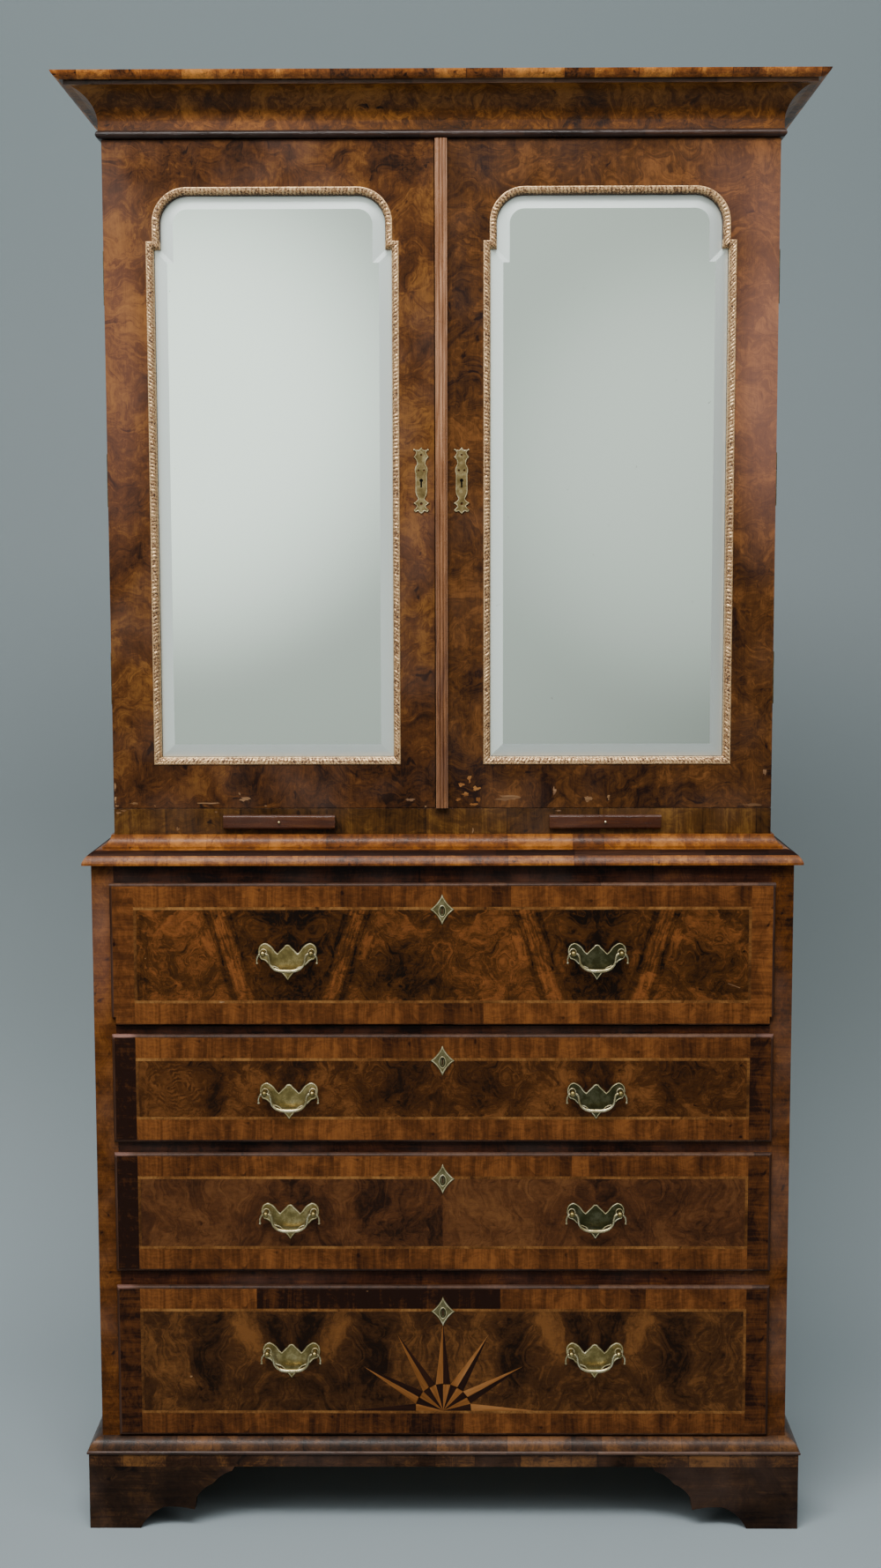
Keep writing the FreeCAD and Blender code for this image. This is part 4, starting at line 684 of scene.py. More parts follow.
# The ends of the lips are lightened just under their upper edge: rubbed pale there, and with a painted glint
# of light on the rounded lip.
lip_end_wear_and_glints = [
    ((x, -0.19, front_levels(name)[1] - 0.001), (0.026, 0.04, 0.007), strength)
    for name, x, strength in (("upper_drawer_front", -0.468, 1.2), ("middle_drawer_front", -0.474, 0.6),
                              ("bottom_drawer_front", -0.474, 0.6), ("upper_drawer_front", 0.478, 0.5))]
lip_walnut = timber(
    "lip_walnut", "Z", ("190C06", "422819", "664832"), patch=0.12, fibre=0.4, dust_and_sheen=0.05, gloss=0.4,
    shine=0.15, painted_sheen=lip_end_wear_and_glints)
border_walnut = timber(
    "border_walnut", "leaf", ("200F08", "563015", "834E24"), swirl=0.03, roll=0.5, figure=0.45, fibre=0.35,
    dust_and_sheen=0.2, bloom=0.0, gloss=0.4)
string_wood = timber(
    "string_wood", "leaf", ("3E2410", "6E4622", "9A6C3A"), swirl=0.03, roll=0.5, dust_and_sheen=0.1, bloom=0.0,
    gloss=0.4)

for front, look in fields.items():
    body = moving(front)
    low, high = front_levels(front)
    edge_low, edge_high = low + lip_round, high - lip_round
    side_edge = lip_half - lip_round
    in_low, in_high = low + border_width, high - border_width
    in_side = lip_half - border_width
    key_low, key_high = high - key_drop - 8.5 * mm, high - key_drop + 6.5 * mm
    top, bottom, left_tone, right_tone = borders[front]
    pieces = []
    for row, (z0, z1) in ((top, (in_high, edge_high)), (bottom, (edge_low, in_low))):
        x = -in_side
        for number, (end, tone) in enumerate(row):
            end = min(end, in_side)
            shape = strip(x, end, z0, z1)
            if x < 0 < end and row is top:
                shape = notched(x, end, z0, z1, key_high)
            pieces.append((shape, tone, (x, z0, number * 1.7), pi / 2, 1))
            x = end
    for side, tone in ((-1, left_tone), (1, right_tone)):
        x0, x1 = sorted((side * in_side, side * side_edge))
        shape = strip(x0, x1, edge_low, edge_high)
        if front == "fall_front":
            inside, narrow, wide = side * in_side, side * fall_foot_half, side * side_edge
            shape = [(inside, edge_low), (narrow, edge_low), (narrow, fall_lip_foot), (wide, fall_lip_foot),
                     (wide, edge_high), (inside, edge_high)][::side]
        pieces.append((shape, tone, (x0, edge_low, 3.0 + side), 0.0, 1))
    veneer(body + "_border", body, pieces, border_walnut, 0.25 * mm)
    field_low, field_high = in_low + string_width, in_high - string_width
    field_side = in_side - string_width
    pieces = [
        (strip(-in_side, in_side, in_low, field_low), 0.05, (0, in_low, 1.0), 0.0, 1),
        (strip(-in_side, -key_half, field_high, in_high), 0.08, (0, in_low, 2.0), 0.0, 1),
        (strip(key_half, in_side, field_high, in_high), 0.02, (0, in_low, 3.0), 0.0, 1),
        (strip(-in_side, -field_side, field_low, field_high), -0.15, (0, in_low, 4.0), pi / 2, 1),
        (strip(field_side, in_side, field_low, field_high), 0.0, (0, in_low, 5.0), pi / 2, 1),
    ]
    veneer(body + "_string", body, pieces, string_wood, 0.26 * mm)
    contrast = 4 if front == "middle_drawer_front" else 1
    pieces = []
    for number, (x0, x1, origin, flip, tone) in enumerate((
            (-field_side, -leaf_width, -2 * leaf_width, 1, 0.02),
            (-leaf_width, 0.0, 0.0, -1, -0.03 * contrast), (0.0, leaf_width, 0.0, 1, 0.03 * contrast),
            (leaf_width, field_side, 2 * leaf_width, -1, -0.01))):
        shape = strip(x0, x1, field_low, field_high)
        if x1 == 0.0:
            shape = [(x0, field_low), (0, field_low), (0, key_low), (-key_half, key_low),
                     (-key_half, field_high), (x0, field_high)]
        if x0 == 0.0:
            shape = [(0, field_low), (x1, field_low), (x1, field_high), (key_half, field_high),
                     (key_half, key_low), (0, key_low)]
        pieces.append((shape, tone, (origin, field_low, number * leaf_drift), 0.0, flip))
    burr = timber(body + "_burr", "leaf", look["stains"], swirl=look["swirl"], roll=look["roll"],
                  bloom=0.0, marks=look["marks"], figure=0.1, fibre=0.5, dust_and_sheen=0.1, gloss=0.36)
    veneer(body + "_field", body, pieces, burr, 0.25 * mm)
dress(lip_walnut, *fields)


def sunburst():
    """Half a compass star: a fan of twelve wedges and seven rays, each ray half dark and half light."""
    low, high = front_levels("bottom_drawer_front")
    middle = low + border_width + string_width
    fan, reach = 42 * mm, 136 * mm

    def at(turn, radius):
        return (radius * cos(radians(turn)), middle + radius * sin(radians(turn)))

    dark, light = [], []
    for number in range(12):
        start = 15 * number
        shape = [(0.0, middle), at(start, fan), at(start + 15, fan)]
        wedge = (shape, 0.0, (0.0, middle, float(number)), radians(start + 7.5), 1)
        (light if number % 2 else dark).append(wedge)
    for number in range(7):
        turn = 30 * number
        tip, root = at(turn, reach), at(turn, fan * cos(radians(15)))
        if number < 6:
            light.append(([root, tip, at(turn + 15, fan)], 0.05, (*root, 20.0 + number), radians(turn), 1))
        if number > 0:
            dark.append(([root, at(turn - 15, fan), tip], 0.0, (*root, 30.0 + number), radians(turn), 1))
    for tone, leaves, stains, slot in (("dark", dark, ("120A07", "24120B", "3A2012"), "dark_walnut"),
                                       ("light", light, ("55300F", "865428", "A87444"), "straight_walnut")):
        wood = timber("burst_" + tone, "leaf", stains, dust_and_sheen=0.05, bloom=0.0, gloss=0.38)
        veneer("sunburst_" + tone, "bottom_drawer", leaves, wood, 0.4 * mm)


sunburst()

# Drawer boxes
# Oak boxes, dovetailed and waxed only by use, behind boards of plain pine that carry the fronts.
# The end grain of the tails shows at the front and the back of each side.
drawer_oak = timber("drawer_oak", "Y", ("5A3F22", "8A673C", "A98650"), dust_and_sheen=0.2, gloss=0.6, bloom=0.2)
dress(drawer_oak, "bottom_drawer_box", "middle_drawer_box", "upper_drawer_box", "secretaire_drawer_box")
plain_pine = timber("drawer_pine", "X", ("6E4C2A", "9A7446", "BA945E"), dust_and_sheen=0.1, gloss=0.7, bloom=0.2)
for front in fields:
    back_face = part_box(front)[1].y / mm
    inlay(plain_pine, front, lambda x, y, z: y > back_face - 0.5)


def flat_marks(name, body, outlines, plane, level, material):
    """Thin flat shapes on one plane: across x (plane 0) or across y (plane 1), in millimetres."""
    points, faces = [], []
    for outline in outlines:
        faces.append(tuple(range(len(points), len(points) + len(outline))))
        for a, z in outline:
            points.append((level * mm, a * mm, z * mm) if plane == 0 else (a * mm, level * mm, z * mm))
    shaped(name, points, faces, material, body, smooth=False)


end_grain = timber("oak_end_grain", "Z", ("3E2A15", "6A4C2A", "86643A"), dust_and_sheen=0.1, gloss=0.7)
hands = ((-1, "left"), (1, "right"))
box_half, tail_length = 477.0, 15


def dovetails(box, body, count):
    """The tails of a drawer side, seen at its front and its back end."""
    low, high = (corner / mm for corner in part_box(box))
    step = (high.z - low.z - 8) / count
    for side, hand in hands:
        outlines = []
        for near, away in ((low.y, tail_length), (high.y, -tail_length)):
            for number in range(count):
                z = low.z + 4 + step * (number + 0.5)
                root, tip = 0.19 * step, 0.34 * step
                outlines.append([(near, z - tip), (near + away, z - root), (near + away, z + root),
                                 (near, z + tip)])
        flat_marks("%s_%s_dovetails" % (box, hand), body, outlines, 0, side * (box_half + 0.12), end_grain)


for body, count in (("bottom_drawer", 5), ("middle_drawer", 4), ("upper_drawer", 3),
                    ("secretaire_drawer", 5)):
    dovetails(body + "_box", body, count)

# Brasses
# Cast brass plates with bevelled edges, turned posts with ball heads and swan-neck bails, all dull
# and olive from age, bright where hands rub them, and pale along the rims as a painted highlight.
def brass(name, stains, gloss=0.36, metal=1.0):
    material, tree, shader = blank(name)
    room = in_room(tree)
    mask = cloud(room, 90.0, 3.0, 0.6) * 0.75 + cloud(room, 900.0, 2.0) * 0.25
    bump = add(tree, "Bump", {"Strength": 0.3, "Distance": 0.0002, "Height": mask})
    feed(shader, {"Base Color": stained(eased(mask, 0.26, 0.74), stains), "Metallic": metal,
                  "Roughness": eased(mask, 0.3, 0.7, gloss + 0.1, gloss - 0.06), "Normal": bump["Normal"]})
    return material


plate_brass = brass("plate_brass", ("6C5E36", "8C7A4A", "B8A472"), 0.33)
door_brass = brass("door_plate_brass", ("5E4E2C", "86714A", "AE9B72"), 0.34)
shaded_brass = brass("shaded_plate_brass", ("34321E", "4A4830", "66624A"))
lock_brass = brass("lock_plate_brass", ("5C5436", "7E7450", "A29670"), 0.36)
bail_brass = brass("bail_brass", ("9A8A5E", "C4B48A", "E8DCB8"), 0.26)
hinge_brass = brass("hinge_brass", ("4E4428", "8A7C50", "B2A578"), 0.42)
# The rims, rings and raised lines are of a pale brass: rubbed bright by hands, and paler still as a painted
# highlight on edges that catch the light.
rim_highlight_brass = brass("rubbed_highlight_brass", ("9C8E68", "CABC92", "F2E8C8"), 0.42, metal=0.7)
dress(plate_brass, "fall_brasses", "upper_drawer_brasses", "middle_drawer_brasses", "bottom_drawer_brasses",
      bevel=1.1, edge=rim_highlight_brass)
plate_face = min(point.co.y for point in nodes["middle_drawer_brasses"].data.vertices
                 if 0.215 < point.co.x < 0.235) / mm
# The right-hand plates of the fall and the upper two drawers are of the darker shaded brass: painted shade,
# as they show darker surroundings than the left-hand ones.
for name in ("fall_brasses", "upper_drawer_brasses", "middle_drawer_brasses", "bottom_drawer_brasses"):
    if name != "bottom_drawer_brasses":
        inlay(shaded_brass, name, lambda x, y, z: x > 100 and abs(y - plate_face) < 0.1)
    inlay(lock_brass, name, lambda x, y, z: abs(x) < 20 and abs(y - plate_face) < 0.1)


def plate_outlines(node, level):
    """The outlines of a node's flat brass faces: points in millimetres, each with its inward direction."""
    mesh = nodes[node].data
    used, after = {}, {}
    flat = [face for face in mesh.polygons if abs(face.center.y / mm - level) < 0.1 and face.normal.y < -0.9]
    for face in flat:
        for key in face.edge_keys:
            used[key] = used.get(key, 0) + 1
    for face in flat:
        corners = list(face.vertices)
        for here, there in zip(corners, corners[1:] + corners[:1]):
            if used[(min(here, there), max(here, there))] == 1:
                after[here] = there
    outlines = []
    while after:
        start, there = after.popitem()
        loop = [start]
        while there != start and there in after:
            loop.append(there)
            there = after.pop(there)
        line = [(mesh.vertices[i].co.x / mm, mesh.vertices[i].co.z / mm) for i in loop]
        if max(x for x, z in line) - min(x for x, z in line) < 15:
            continue
        made = []
        for i, (x, z) in enumerate(line):
            (x0, z0), (x1, z1) = line[i - 1], line[(i + 1) % len(line)]
            size = hypot(x1 - x0, z1 - z0) or 1
            made.append((x, z, -(z1 - z0) / size, (x1 - x0) / size))
        outlines.append(made)
    return outlines


def oval(x, z, wide, tall):
    """An oval line round a point, with its inward direction."""
    turns = [2 * pi * step / 28 for step in range(28)]
    return [(x + wide * cos(a), z + tall * sin(a), -cos(a), -sin(a)) for a in turns]


def rings(count, rows, first=0):
    """Quads all the way round a closed line, between points that were laid across it row by row."""
    return [(first + i * rows + k, first + j * rows + k, first + j * rows + k + 1, first + i * rows + k + 1)
            for i in range(count) for j in ((i + 1) % count,) for k in range(rows - 1)]


def chasing(name, body, lines, material, level):
    """Raised or flat lines on brass plates: each a closed line and its section, inward and proud."""
    points, faces = [], []
    for line, section in lines:
        first = len(points)
        for x, z, in_x, in_z in line:
            for across, rise in section:
                points.append(((x + in_x * across) * mm, (level - rise) * mm, (z + in_z * across) * mm))
        faces += rings(len(line), len(section), first)
    shaped(name, points, faces, material, body)


# Where the bails hang on their posts, and the sections of the raised lines on the plates.
handle_x, post_half, post_drop = 225, 35, 1.85
rim_section = [(0.7, -0.7), (0.8, 0.25), (1.3, 0.45), (1.8, 0.25), (1.9, -0.2)]
ring_section = [(0.0, -0.1), (0.2, 0.5), (0.7, 0.6), (1.2, 0.3), (1.3, -0.1)]
key_section = [(0.0, -0.1), (0.2, 0.45), (0.8, 0.45), (1.0, 0.12)]
for front in fields:
    body = moving(front)
    post_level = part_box(body + "_left_bail")[1].z / mm - post_drop
    key_level = (front_levels(front)[1] - key_drop) / mm - 2.5
    lines = [(line, rim_section) for line in plate_outlines(body + "_brasses", plate_face)]
    for x in (-handle_x - post_half, -handle_x + post_half, handle_x - post_half, handle_x + post_half):
        lines.append((oval(x, post_level, 5.4, 5.4), ring_section))
    lines.append((oval(0, key_level, 5.4, 8.8), key_section))
    chasing(body + "_chasing", body, lines, rim_highlight_brass, plate_face)
    # Inside each keyhole collar lies a thin sheet of the darker shaded brass: painted shade in the recess.
    recess = [(oval(0, key_level, 4.5, 7.9), [(0.0, 0.12), (2.0, 0.12)])]
    chasing(body + "_keyhole_recess", body, recess, shaded_brass, plate_face)

# From the end of a bail's arm to its middle: x, z and the radius of the bar there.
bail_line = [
    (43.4, -12.6, 1.15), (43.6, -8.5, 1.2), (42.4, -3.6, 1.45), (39.4, -0.4, 1.8), (35.0, 0.0, 2.0),
    (30.6, -0.1, 1.9), (27.4, -2.3, 1.75), (26.0, -6.6, 1.75), (25.6, -11.6, 1.85), (23.2, -17.4, 2.0),
    (18.4, -22.0, 2.25), (11.6, -24.6, 2.6), (5.0, -25.3, 2.85), (0.0, -25.4, 2.9)]


def smooth_line(points, steps):
    """A line that passes through every point with no corner (Catmull-Rom), with its thickness."""
    ends = [points[0]] + points + [points[-1]]
    made = []
    for i in range(1, len(ends) - 2):
        a, b, c, d = ends[i - 1:i + 3]
        for step in range(steps):
            t = step / steps
            made.append(tuple(0.5 * (2 * q + (r - p) * t + (2 * p - 5 * q + 4 * r - s) * t * t
                                     + (3 * q - p - 3 * r + s) * t ** 3) for p, q, r, s in zip(a, b, c, d)))
    return made + [points[-1]]


def bail_mesh():
    """One bail, cast in a piece, with the tails that pass through its posts."""
    right = smooth_line(bail_line, 5)
    line = [(-x, z, r) for x, z, r in right[:-1]] + [(x, z, r) for x, z, r in reversed(right)]
    sides, points, tails = 12, [], []
    for turn in range(1, 5):
        a = pi / 2 * turn / 4.6
        tails.append((line[0][0], line[0][1] - 1.9 * cos(a) - 0.6, 2.3 * sin(a) + 0.05))
    line = tails + line + [(-x, z, r) for x, z, r in reversed(tails)]
    for i, (x, z, r) in enumerate(line):
        before, after = line[max(i - 1, 0)], line[min(i + 1, len(line) - 1)]
        dx, dz = after[0] - before[0], after[1] - before[1]
        size = hypot(dx, dz) or 1
        across = (-dz / size, dx / size)
        for k in range(sides):
            a = 2 * pi * k / sides
            points.append(((x + across[0] * r * cos(a)) * mm, r * sin(a) * mm,
                           (z + across[1] * r * cos(a)) * mm))
    last = (len(line) - 1) * sides
    faces = [(i + k, i + j, i + sides + j, i + sides + k) for i in range(0, last, sides)
             for k in range(sides) for j in ((k + 1) % sides,)]
    faces += [tuple(range(sides))[::-1], tuple(range(last, last + sides))]
    mesh = bpy.data.meshes.new("swan_neck_bail")
    mesh.from_pydata(points, [], faces)
    mesh.shade_smooth()
    mesh.materials.append(bail_brass)
    return mesh


bail_cast = bail_mesh()
for drawer in ("fall", "upper_drawer", "middle_drawer", "bottom_drawer"):
    for side, hand in hands:
        label = "%s_%s_bail" % (drawer, hand)
        low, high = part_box(label)
        place = (side * handle_x * mm, (low.y + high.y) / 2, high.z - post_drop * mm)
        cast = bail_cast.copy()
        cast.transform(Matrix.Translation(place))
        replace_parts(laid(label + "_cast", cast, label), label)

# Writing desk
# Behind the fall: a walnut bed, a gallery of pigeonholes over four small drawers, and brass
# quadrant stays that hold the fall level.
desk_walnut = timber(
    "desk_walnut", "X", ("4A2C15", "80532A", "A67640"), swirl=0.12, roll=0.4, figure=0.6, dust_and_sheen=0.15)
dress(desk_walnut, "pigeonhole_gallery")
small_front = timber("small_drawer_walnut", "X", ("4A2C15", "8A5A2C", "B07E44"), swirl=0.03, dust_and_sheen=0.15)
dress(small_front, "gallery_drawer_1", "gallery_drawer_2", "gallery_drawer_3", "gallery_drawer_4")
dress(hinge_brass, "fall_stays", "fall_hinge_knuckles")
knob_back = 9.9
for number in range(1, 5):
    inlay(bail_brass, "gallery_drawer_%d" % number, lambda x, y, z: y < knob_back)


def leather():
    """Brown hide, tooled with a gilt line, set into the inside of the fall to write on."""
    material, tree, shader = blank("writing_leather")
    room = in_room(tree)
    skin = add(tree, "TexVoronoi", {"Vector": room, "Scale": 900.0})["Distance"]
    worn = cloud(room, 9.0, 4.0, 0.6)
    bump = add(tree, "Bump", {"Strength": 0.25, "Distance": 0.0003, "Height": skin})
    feed(shader, {"Base Color": stained(eased(worn, 0.3, 0.7), ("1E100A", "3A2016", "523424")),
                  "Roughness": eased(worn, 0.3, 0.7, 0.42, 0.6), "Specular IOR Level": 0.3,
                  "Normal": bump["Normal"]})
    return material


tooled_gold = brass("tooled_gold", ("8A6A34", "B8934E", "DDBE7C"), 0.34)
hide = leather()
fall_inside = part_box("fall_front")[1].y / mm
hide_edges = (-400, 400, 800, 940)
flat_marks("fall_leather", "fall", [strip(*hide_edges)], 1, fall_inside + 0.15, hide)
gilt_lines = []
for inset in (9, 13):
    x0, x1, z0, z1 = (edge + inward * inset for edge, inward in zip(hide_edges, (1, -1, 1, -1)))
    gilt_lines += [strip(x0, x1, z0, z0 + 0.8), strip(x0, x1, z1 - 0.8, z1), strip(x0, x0 + 0.8, z0, z1),
                   strip(x1 - 0.8, x1, z0, z1)]
flat_marks("fall_leather_tooling", "fall", gilt_lines, 1, fall_inside + 0.22, tooled_gold)

# Cupboard case
# Walnut-veneered sides, with a floor, ceiling and roof of stained pine and a back of bare pine boards.
# Three loose shelves lie on cleats nailed to the sides.
dress(side_walnut, "upper_side_panels")
shelf_pine = timber("shelf_pine", "X", ("4A3018", "80582F", "A57C4A"), dust_and_sheen=0.3, gloss=0.55, coat=0.05)
dress(shelf_pine, "upper_carcase_boards", "bookshelves", "shelf_cleats")
dress(back_pine, "upper_back_boards")
dress(hinge_brass, "case_hinge_leaves")

# Candle slides
# The rail below the doors, veneered in cross-grained burr, and two slides with moulded red-brown
# fronts that draw out to hold a candlestick each.
rail_burr = timber(
    "rail_burr", "Z", ("1C1007", "4C2F12", "7A5424"), swirl=0.045, roll=0.9, patch=0.12, uneven=0.45,
    figure=0.4, fibre=0.45)
slide_red = timber(
    "slide_walnut", "X", ("1C0A03", "431E0A", "6D411F"), fibre=0.5, dust_and_sheen=0.1, gloss=0.26, shine=0.25)
dress(rail_burr, "candle_slide_rail")
dress(slide_red, "left_candle_slide", "right_candle_slide")
pin_x = 238


def pull_pin(hand, side):
    """A small brass pin in the middle of a slide's front, to draw it out by."""
    low, high = (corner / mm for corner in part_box(hand + "_candle_slide"))
    profile = [(1.2, 0.6), (1.2, -0.5), (1.9, -0.8), (2.0, -1.5), (1.4, -2.2), (0.0, -2.5)]
    points, faces = [], []
    for step in range(12):
        a = 2 * pi * step / 12
        for radius, y in profile:
            points.append(((side * pin_x + radius * cos(a)) * mm, (low.y + y) * mm,
                           ((low.z + high.z) / 2 + radius * sin(a)) * mm))
    for step in range(12):
        after = (step + 1) % 12
        for k in range(len(profile) - 1):
            faces.append((step * 6 + k, step * 6 + k + 1, after * 6 + k + 1, after * 6 + k))
    shaped(hand + "_slide_pin", points, faces, bail_brass, hand + "_candle_slide")


for side, hand in hands:
    pull_pin(hand, side)

# Doors
# Frames veneered in burr walnut round a shouldered arch, a carved and gilded slip inside it, and a
# bevelled mirror plate held by a pine backboard. Brass plates and hinges, a reeded astragal.
# Painted sheen: pale pinkish light painted high on the outer stile of each door, at mid height by the middle
# of the left door, and at the top of the right door.
left_burr = timber(
    "left_door_burr", "Z", ("1D0F09", "512F16", "7F5326"), swirl=0.046, roll=1.1, bloom=0.12, figure=0.15,
    fibre=0.5, gloss=0.36, dust_and_sheen=0.3, marks=toned((2, 1.22, 1.08, 0.22), (2, 1.965, 1.985, 0.13)),
    painted_sheen=(((-0.47, -0.17, 1.72), (0.075, 0.3, 0.36), 0.35), ((-0.03, -0.17, 1.50), (0.05, 0.3, 0.12), 0.12)))
right_burr = timber(
    "right_door_burr", "Z", ("1C0E0A", "4F2F15", "7F5028"), swirl=0.046, roll=1.1, bloom=0.06, figure=0.15,
    fibre=0.5, gloss=0.36, dust_and_sheen=0.3, seed=3.1, marks=toned((2, 1.22, 1.08, 0.13), (0, 0.075, 0.055, 0.16)),
    painted_sheen=(((0.47, -0.17, 1.70), (0.085, 0.3, 0.34), 0.75), ((0.44, -0.17, 1.96), (0.12, 0.3, 0.10), 0.30)))
dress(left_burr, "left_door_frame")
dress(right_burr, "right_door_frame")
door_face, side_start = -155.0, -131.5
for side, hand in hands:
    inlay(side_walnut, hand + "_door_frame", lambda x, y, z: y > side_start)
dress(pine, "left_door_backboard", "right_door_backboard")
# The astragal is darker towards its foot and lighter towards its top: painted shade and painted highlight on
# its reeds.
reed_red = timber(
    "astragal_walnut", "Z", ("4E2B18", "885A38", "BA8A68"), dust_and_sheen=0.2, gloss=0.28, shine=0.5, coat=0.3,
    marks=toned((2, 1.80, 1.30, 0.22), (2, 1.30, 1.80, -0.10)))
dress(reed_red, "door_astragal")
dress(hinge_brass, "left_door_hinge_leaves", "right_door_hinge_leaves", "door_lock")
dress(door_brass, "left_door_escutcheon", "right_door_escutcheon", bevel=0.4, edge=rim_highlight_brass)
key_shadow = timber("keyhole_shadow", "Z", ("040302", "080504", "0E0A07"), dust_and_sheen=0.0, bloom=0.0, gloss=0.8)
door_plate_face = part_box("left_door_escutcheon")[0].y / mm
keyhole_x, keyhole_half, keyhole_low, keyhole_high = 29, 3.4, 1537, 1556
door_rim = [(0.35, -0.3), (0.5, 0.2), (0.8, 0.32), (1.1, 0.2), (1.25, -0.1)]
for side, hand in hands:
    outlines = plate_outlines(hand + "_door_escutcheon", door_plate_face)
    rims = [(line, door_rim) for line in outlines]
    chasing(hand + "_door_chasing", hand + "_door", rims, rim_highlight_brass, door_plate_face)
    middle = side * keyhole_x
    flat_marks(hand + "_door_keyhole", hand + "_door",
               [strip(middle - keyhole_half, middle + keyhole_half, keyhole_low, keyhole_high)], 1,
               door_face - 0.08, key_shadow)


def silvered_glass(name, low, high, rough, metal):
    """Old mirror glass, a little darker towards its foot as a painted dimming of what it reflects, with small
    brown spots in its silvering.
    """
    material, tree, shader = blank(name)
    room = in_room(tree)
    plain = tinted(eased(parts_of(room)[2], 1.10, 1.95), stain(low), stain(high))
    foxing = eased(cloud(room, 60.0, 4.0, 0.7), 0.70, 0.80)
    feed(shader, {"Base Color": tinted(foxing * 0.35, plain, stain("6E6A5A")), "Metallic": metal,
                  "Roughness": eased(foxing, 0.0, 1.0, rough, 0.34)})
    return material


glass = silvered_glass("silvered_glass", "CAD3CC", "DCE6DE", 0.05, 1.0)
bevel_glass = silvered_glass("bevel_glass", "F2FAF6", "F2FAF6", 0.32, 0.9)
for hand in ("left", "right"):
    piece = nodes[hand + "_door_mirror"]
    piece.data.materials.clear()
    piece.data.materials.append(glass)
    piece.data.shade_flat()
    inlay(bevel_glass, hand + "_door_mirror", lambda x, y, z: True)
    for face in piece.data.polygons:
        if face.normal.y < -0.9995:
            face.material_index = 0


def gilding():
    """Water gilding, rubbed through to brown in the hollows."""
    material, tree, shader = blank("gilded_carving")
    room = in_room(tree)
    rubbed = eased(cloud(room, 420.0, 3.0, 0.7), 0.26, 0.7)
    # The shade of each point is the height of the carved leaf there, and a painted shadow along the inner
    # edge under the top of the arch.
    relief_and_shadow = add(tree, "Attribute", attribute_name="shade")["Fac"]
    mask = rubbed * 0.9 + relief_and_shadow * 0.6 - cloud(room, 14.0, 2.0) * 0.35
    feed(shader, {"Base Color": stained(eased(mask, 0.16, 0.90), ("3E2817", "94693E", "E2BA8A")),
                  "Roughness": eased(mask, 0.3, 1.0, 0.62, 0.34),
                  "Metallic": eased(mask, 0.45, 0.9, 0.1, 0.75)})
    return material


gold = gilding()
pane_low = 1141.5
pane_in, pane_out = 60.0, 420.0
shoulder_level, spring_level, shoulder_step, arch_radius = 1888.0, 1913.0, 9.0, 50.0
slip_width = 10.8
mirror_rebate = -144.0


def slip_line(inset):
    """The shouldered arch, set in by so much, as corner and arc points for the right-hand door."""
    inner, outer = pane_in + inset, pane_out - inset
    radius = arch_radius - inset
    line = [(inner, pane_low + inset), (outer, pane_low + inset), (outer, shoulder_level - inset),
            (outer - shoulder_step, shoulder_level - inset), (outer - shoulder_step, spring_level)]
    for step in range(1, 16):
        a = pi / 2 * step / 15
        line.append((outer - shoulder_step - radius + radius * cos(a), spring_level + radius * sin(a)))
    for step in range(0, 16):
        a = pi / 2 + pi / 2 * step / 15
        line.append((inner + shoulder_step + radius + radius * cos(a), spring_level + radius * sin(a)))
    return line + [(inner + shoulder_step, shoulder_level - inset), (inner, shoulder_level - inset)]


def between(a, b, share):
    return a[0] + (b[0] - a[0]) * share, a[1] + (b[1] - a[1]) * share


def carved_slip(hand, side):
    """A ring of small carved leaves between two fillets, laid leaf by leaf round the opening."""
    outer_line, inner_line = slip_line(0.15), slip_line(slip_width - 0.15)
    rows = 9
    points, shade, stations = [], [], []
    run = 0.0
    count = len(outer_line)
    for i in range(count):
        a, b = outer_line[i], outer_line[(i + 1) % count]
        c, d = inner_line[i], inner_line[(i + 1) % count]
        length = hypot((b[0] + d[0] - a[0] - c[0]) / 2, (b[1] + d[1] - a[1] - c[1]) / 2)
        steps = max(1, round(length / 1.05))
        for step in range(steps):
            t = step / steps
            stations.append((between(a, b, t), between(c, d, t), run + length * t))
        run += length
    pitch = run / round(run / 5.2)
    chance = Random(5 if side < 0 else 8)
    carved = [chance.uniform(0.35, 1.0) for _ in range(int(run / pitch) + 3)]
    for outer, inner, along in stations:
        for row in range(rows):
            t = row / (rows - 1)
            fillet = 1.0 if t < 0.14 else 0.35 if t > 0.9 else 0.0
            turn = along / pitch + 0.3 * t + 0.12 * sin(along / 17)
            leaf = abs(sin(pi * turn)) * carved[int(turn)]
            rise = sin(pi * min(max((t - 0.08) / 0.84, 0), 1))
            height = 2.2 * fillet if fillet else 0.5 + rise * (0.9 + 1.5 * leaf)
            x, z = between(outer, inner, t)
            y = door_face - (height if row else 0.2) + 2.2 * t
            if row == rows - 1:
                y = mirror_rebate
            points.append((side * x * mm, y * mm, z * mm))
            # The inner fillet above the shoulders gets a low shade: a painted shadow under the top of the
            # arch.
            shade.append(leaf if not fillet else -0.5 if t > 0.9 and z > shoulder_level else 0.8)
    faces = [quad if side < 0 else quad[::-1] for quad in rings(len(stations), rows)]
    slip = shaped(hand + "_carved_slip", points, faces, gold, hand + "_door", shade=shade)
    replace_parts(slip, hand + "_gilt_slip")


for side, hand in hands:
    carved_slip(hand, side)

# Wear
# Three centuries of knocks: veneer chipped from the lower edges of the doors and the rail, so that
# pale wood shows, a few pale rubbed spots, and small scratches on the drawer fronts.
bare_wood = timber(
    "bare_wood", "X", ("4E3420", "785638", "9C7A56"), fibre=0.9, dust_and_sheen=0.0, bloom=0.2, gloss=0.6)
rubbed_wood = timber("rubbed_wood", "X", ("5A3416", "84542A", "A87440"), fibre=0.9, dust_and_sheen=0.0, gloss=0.5)


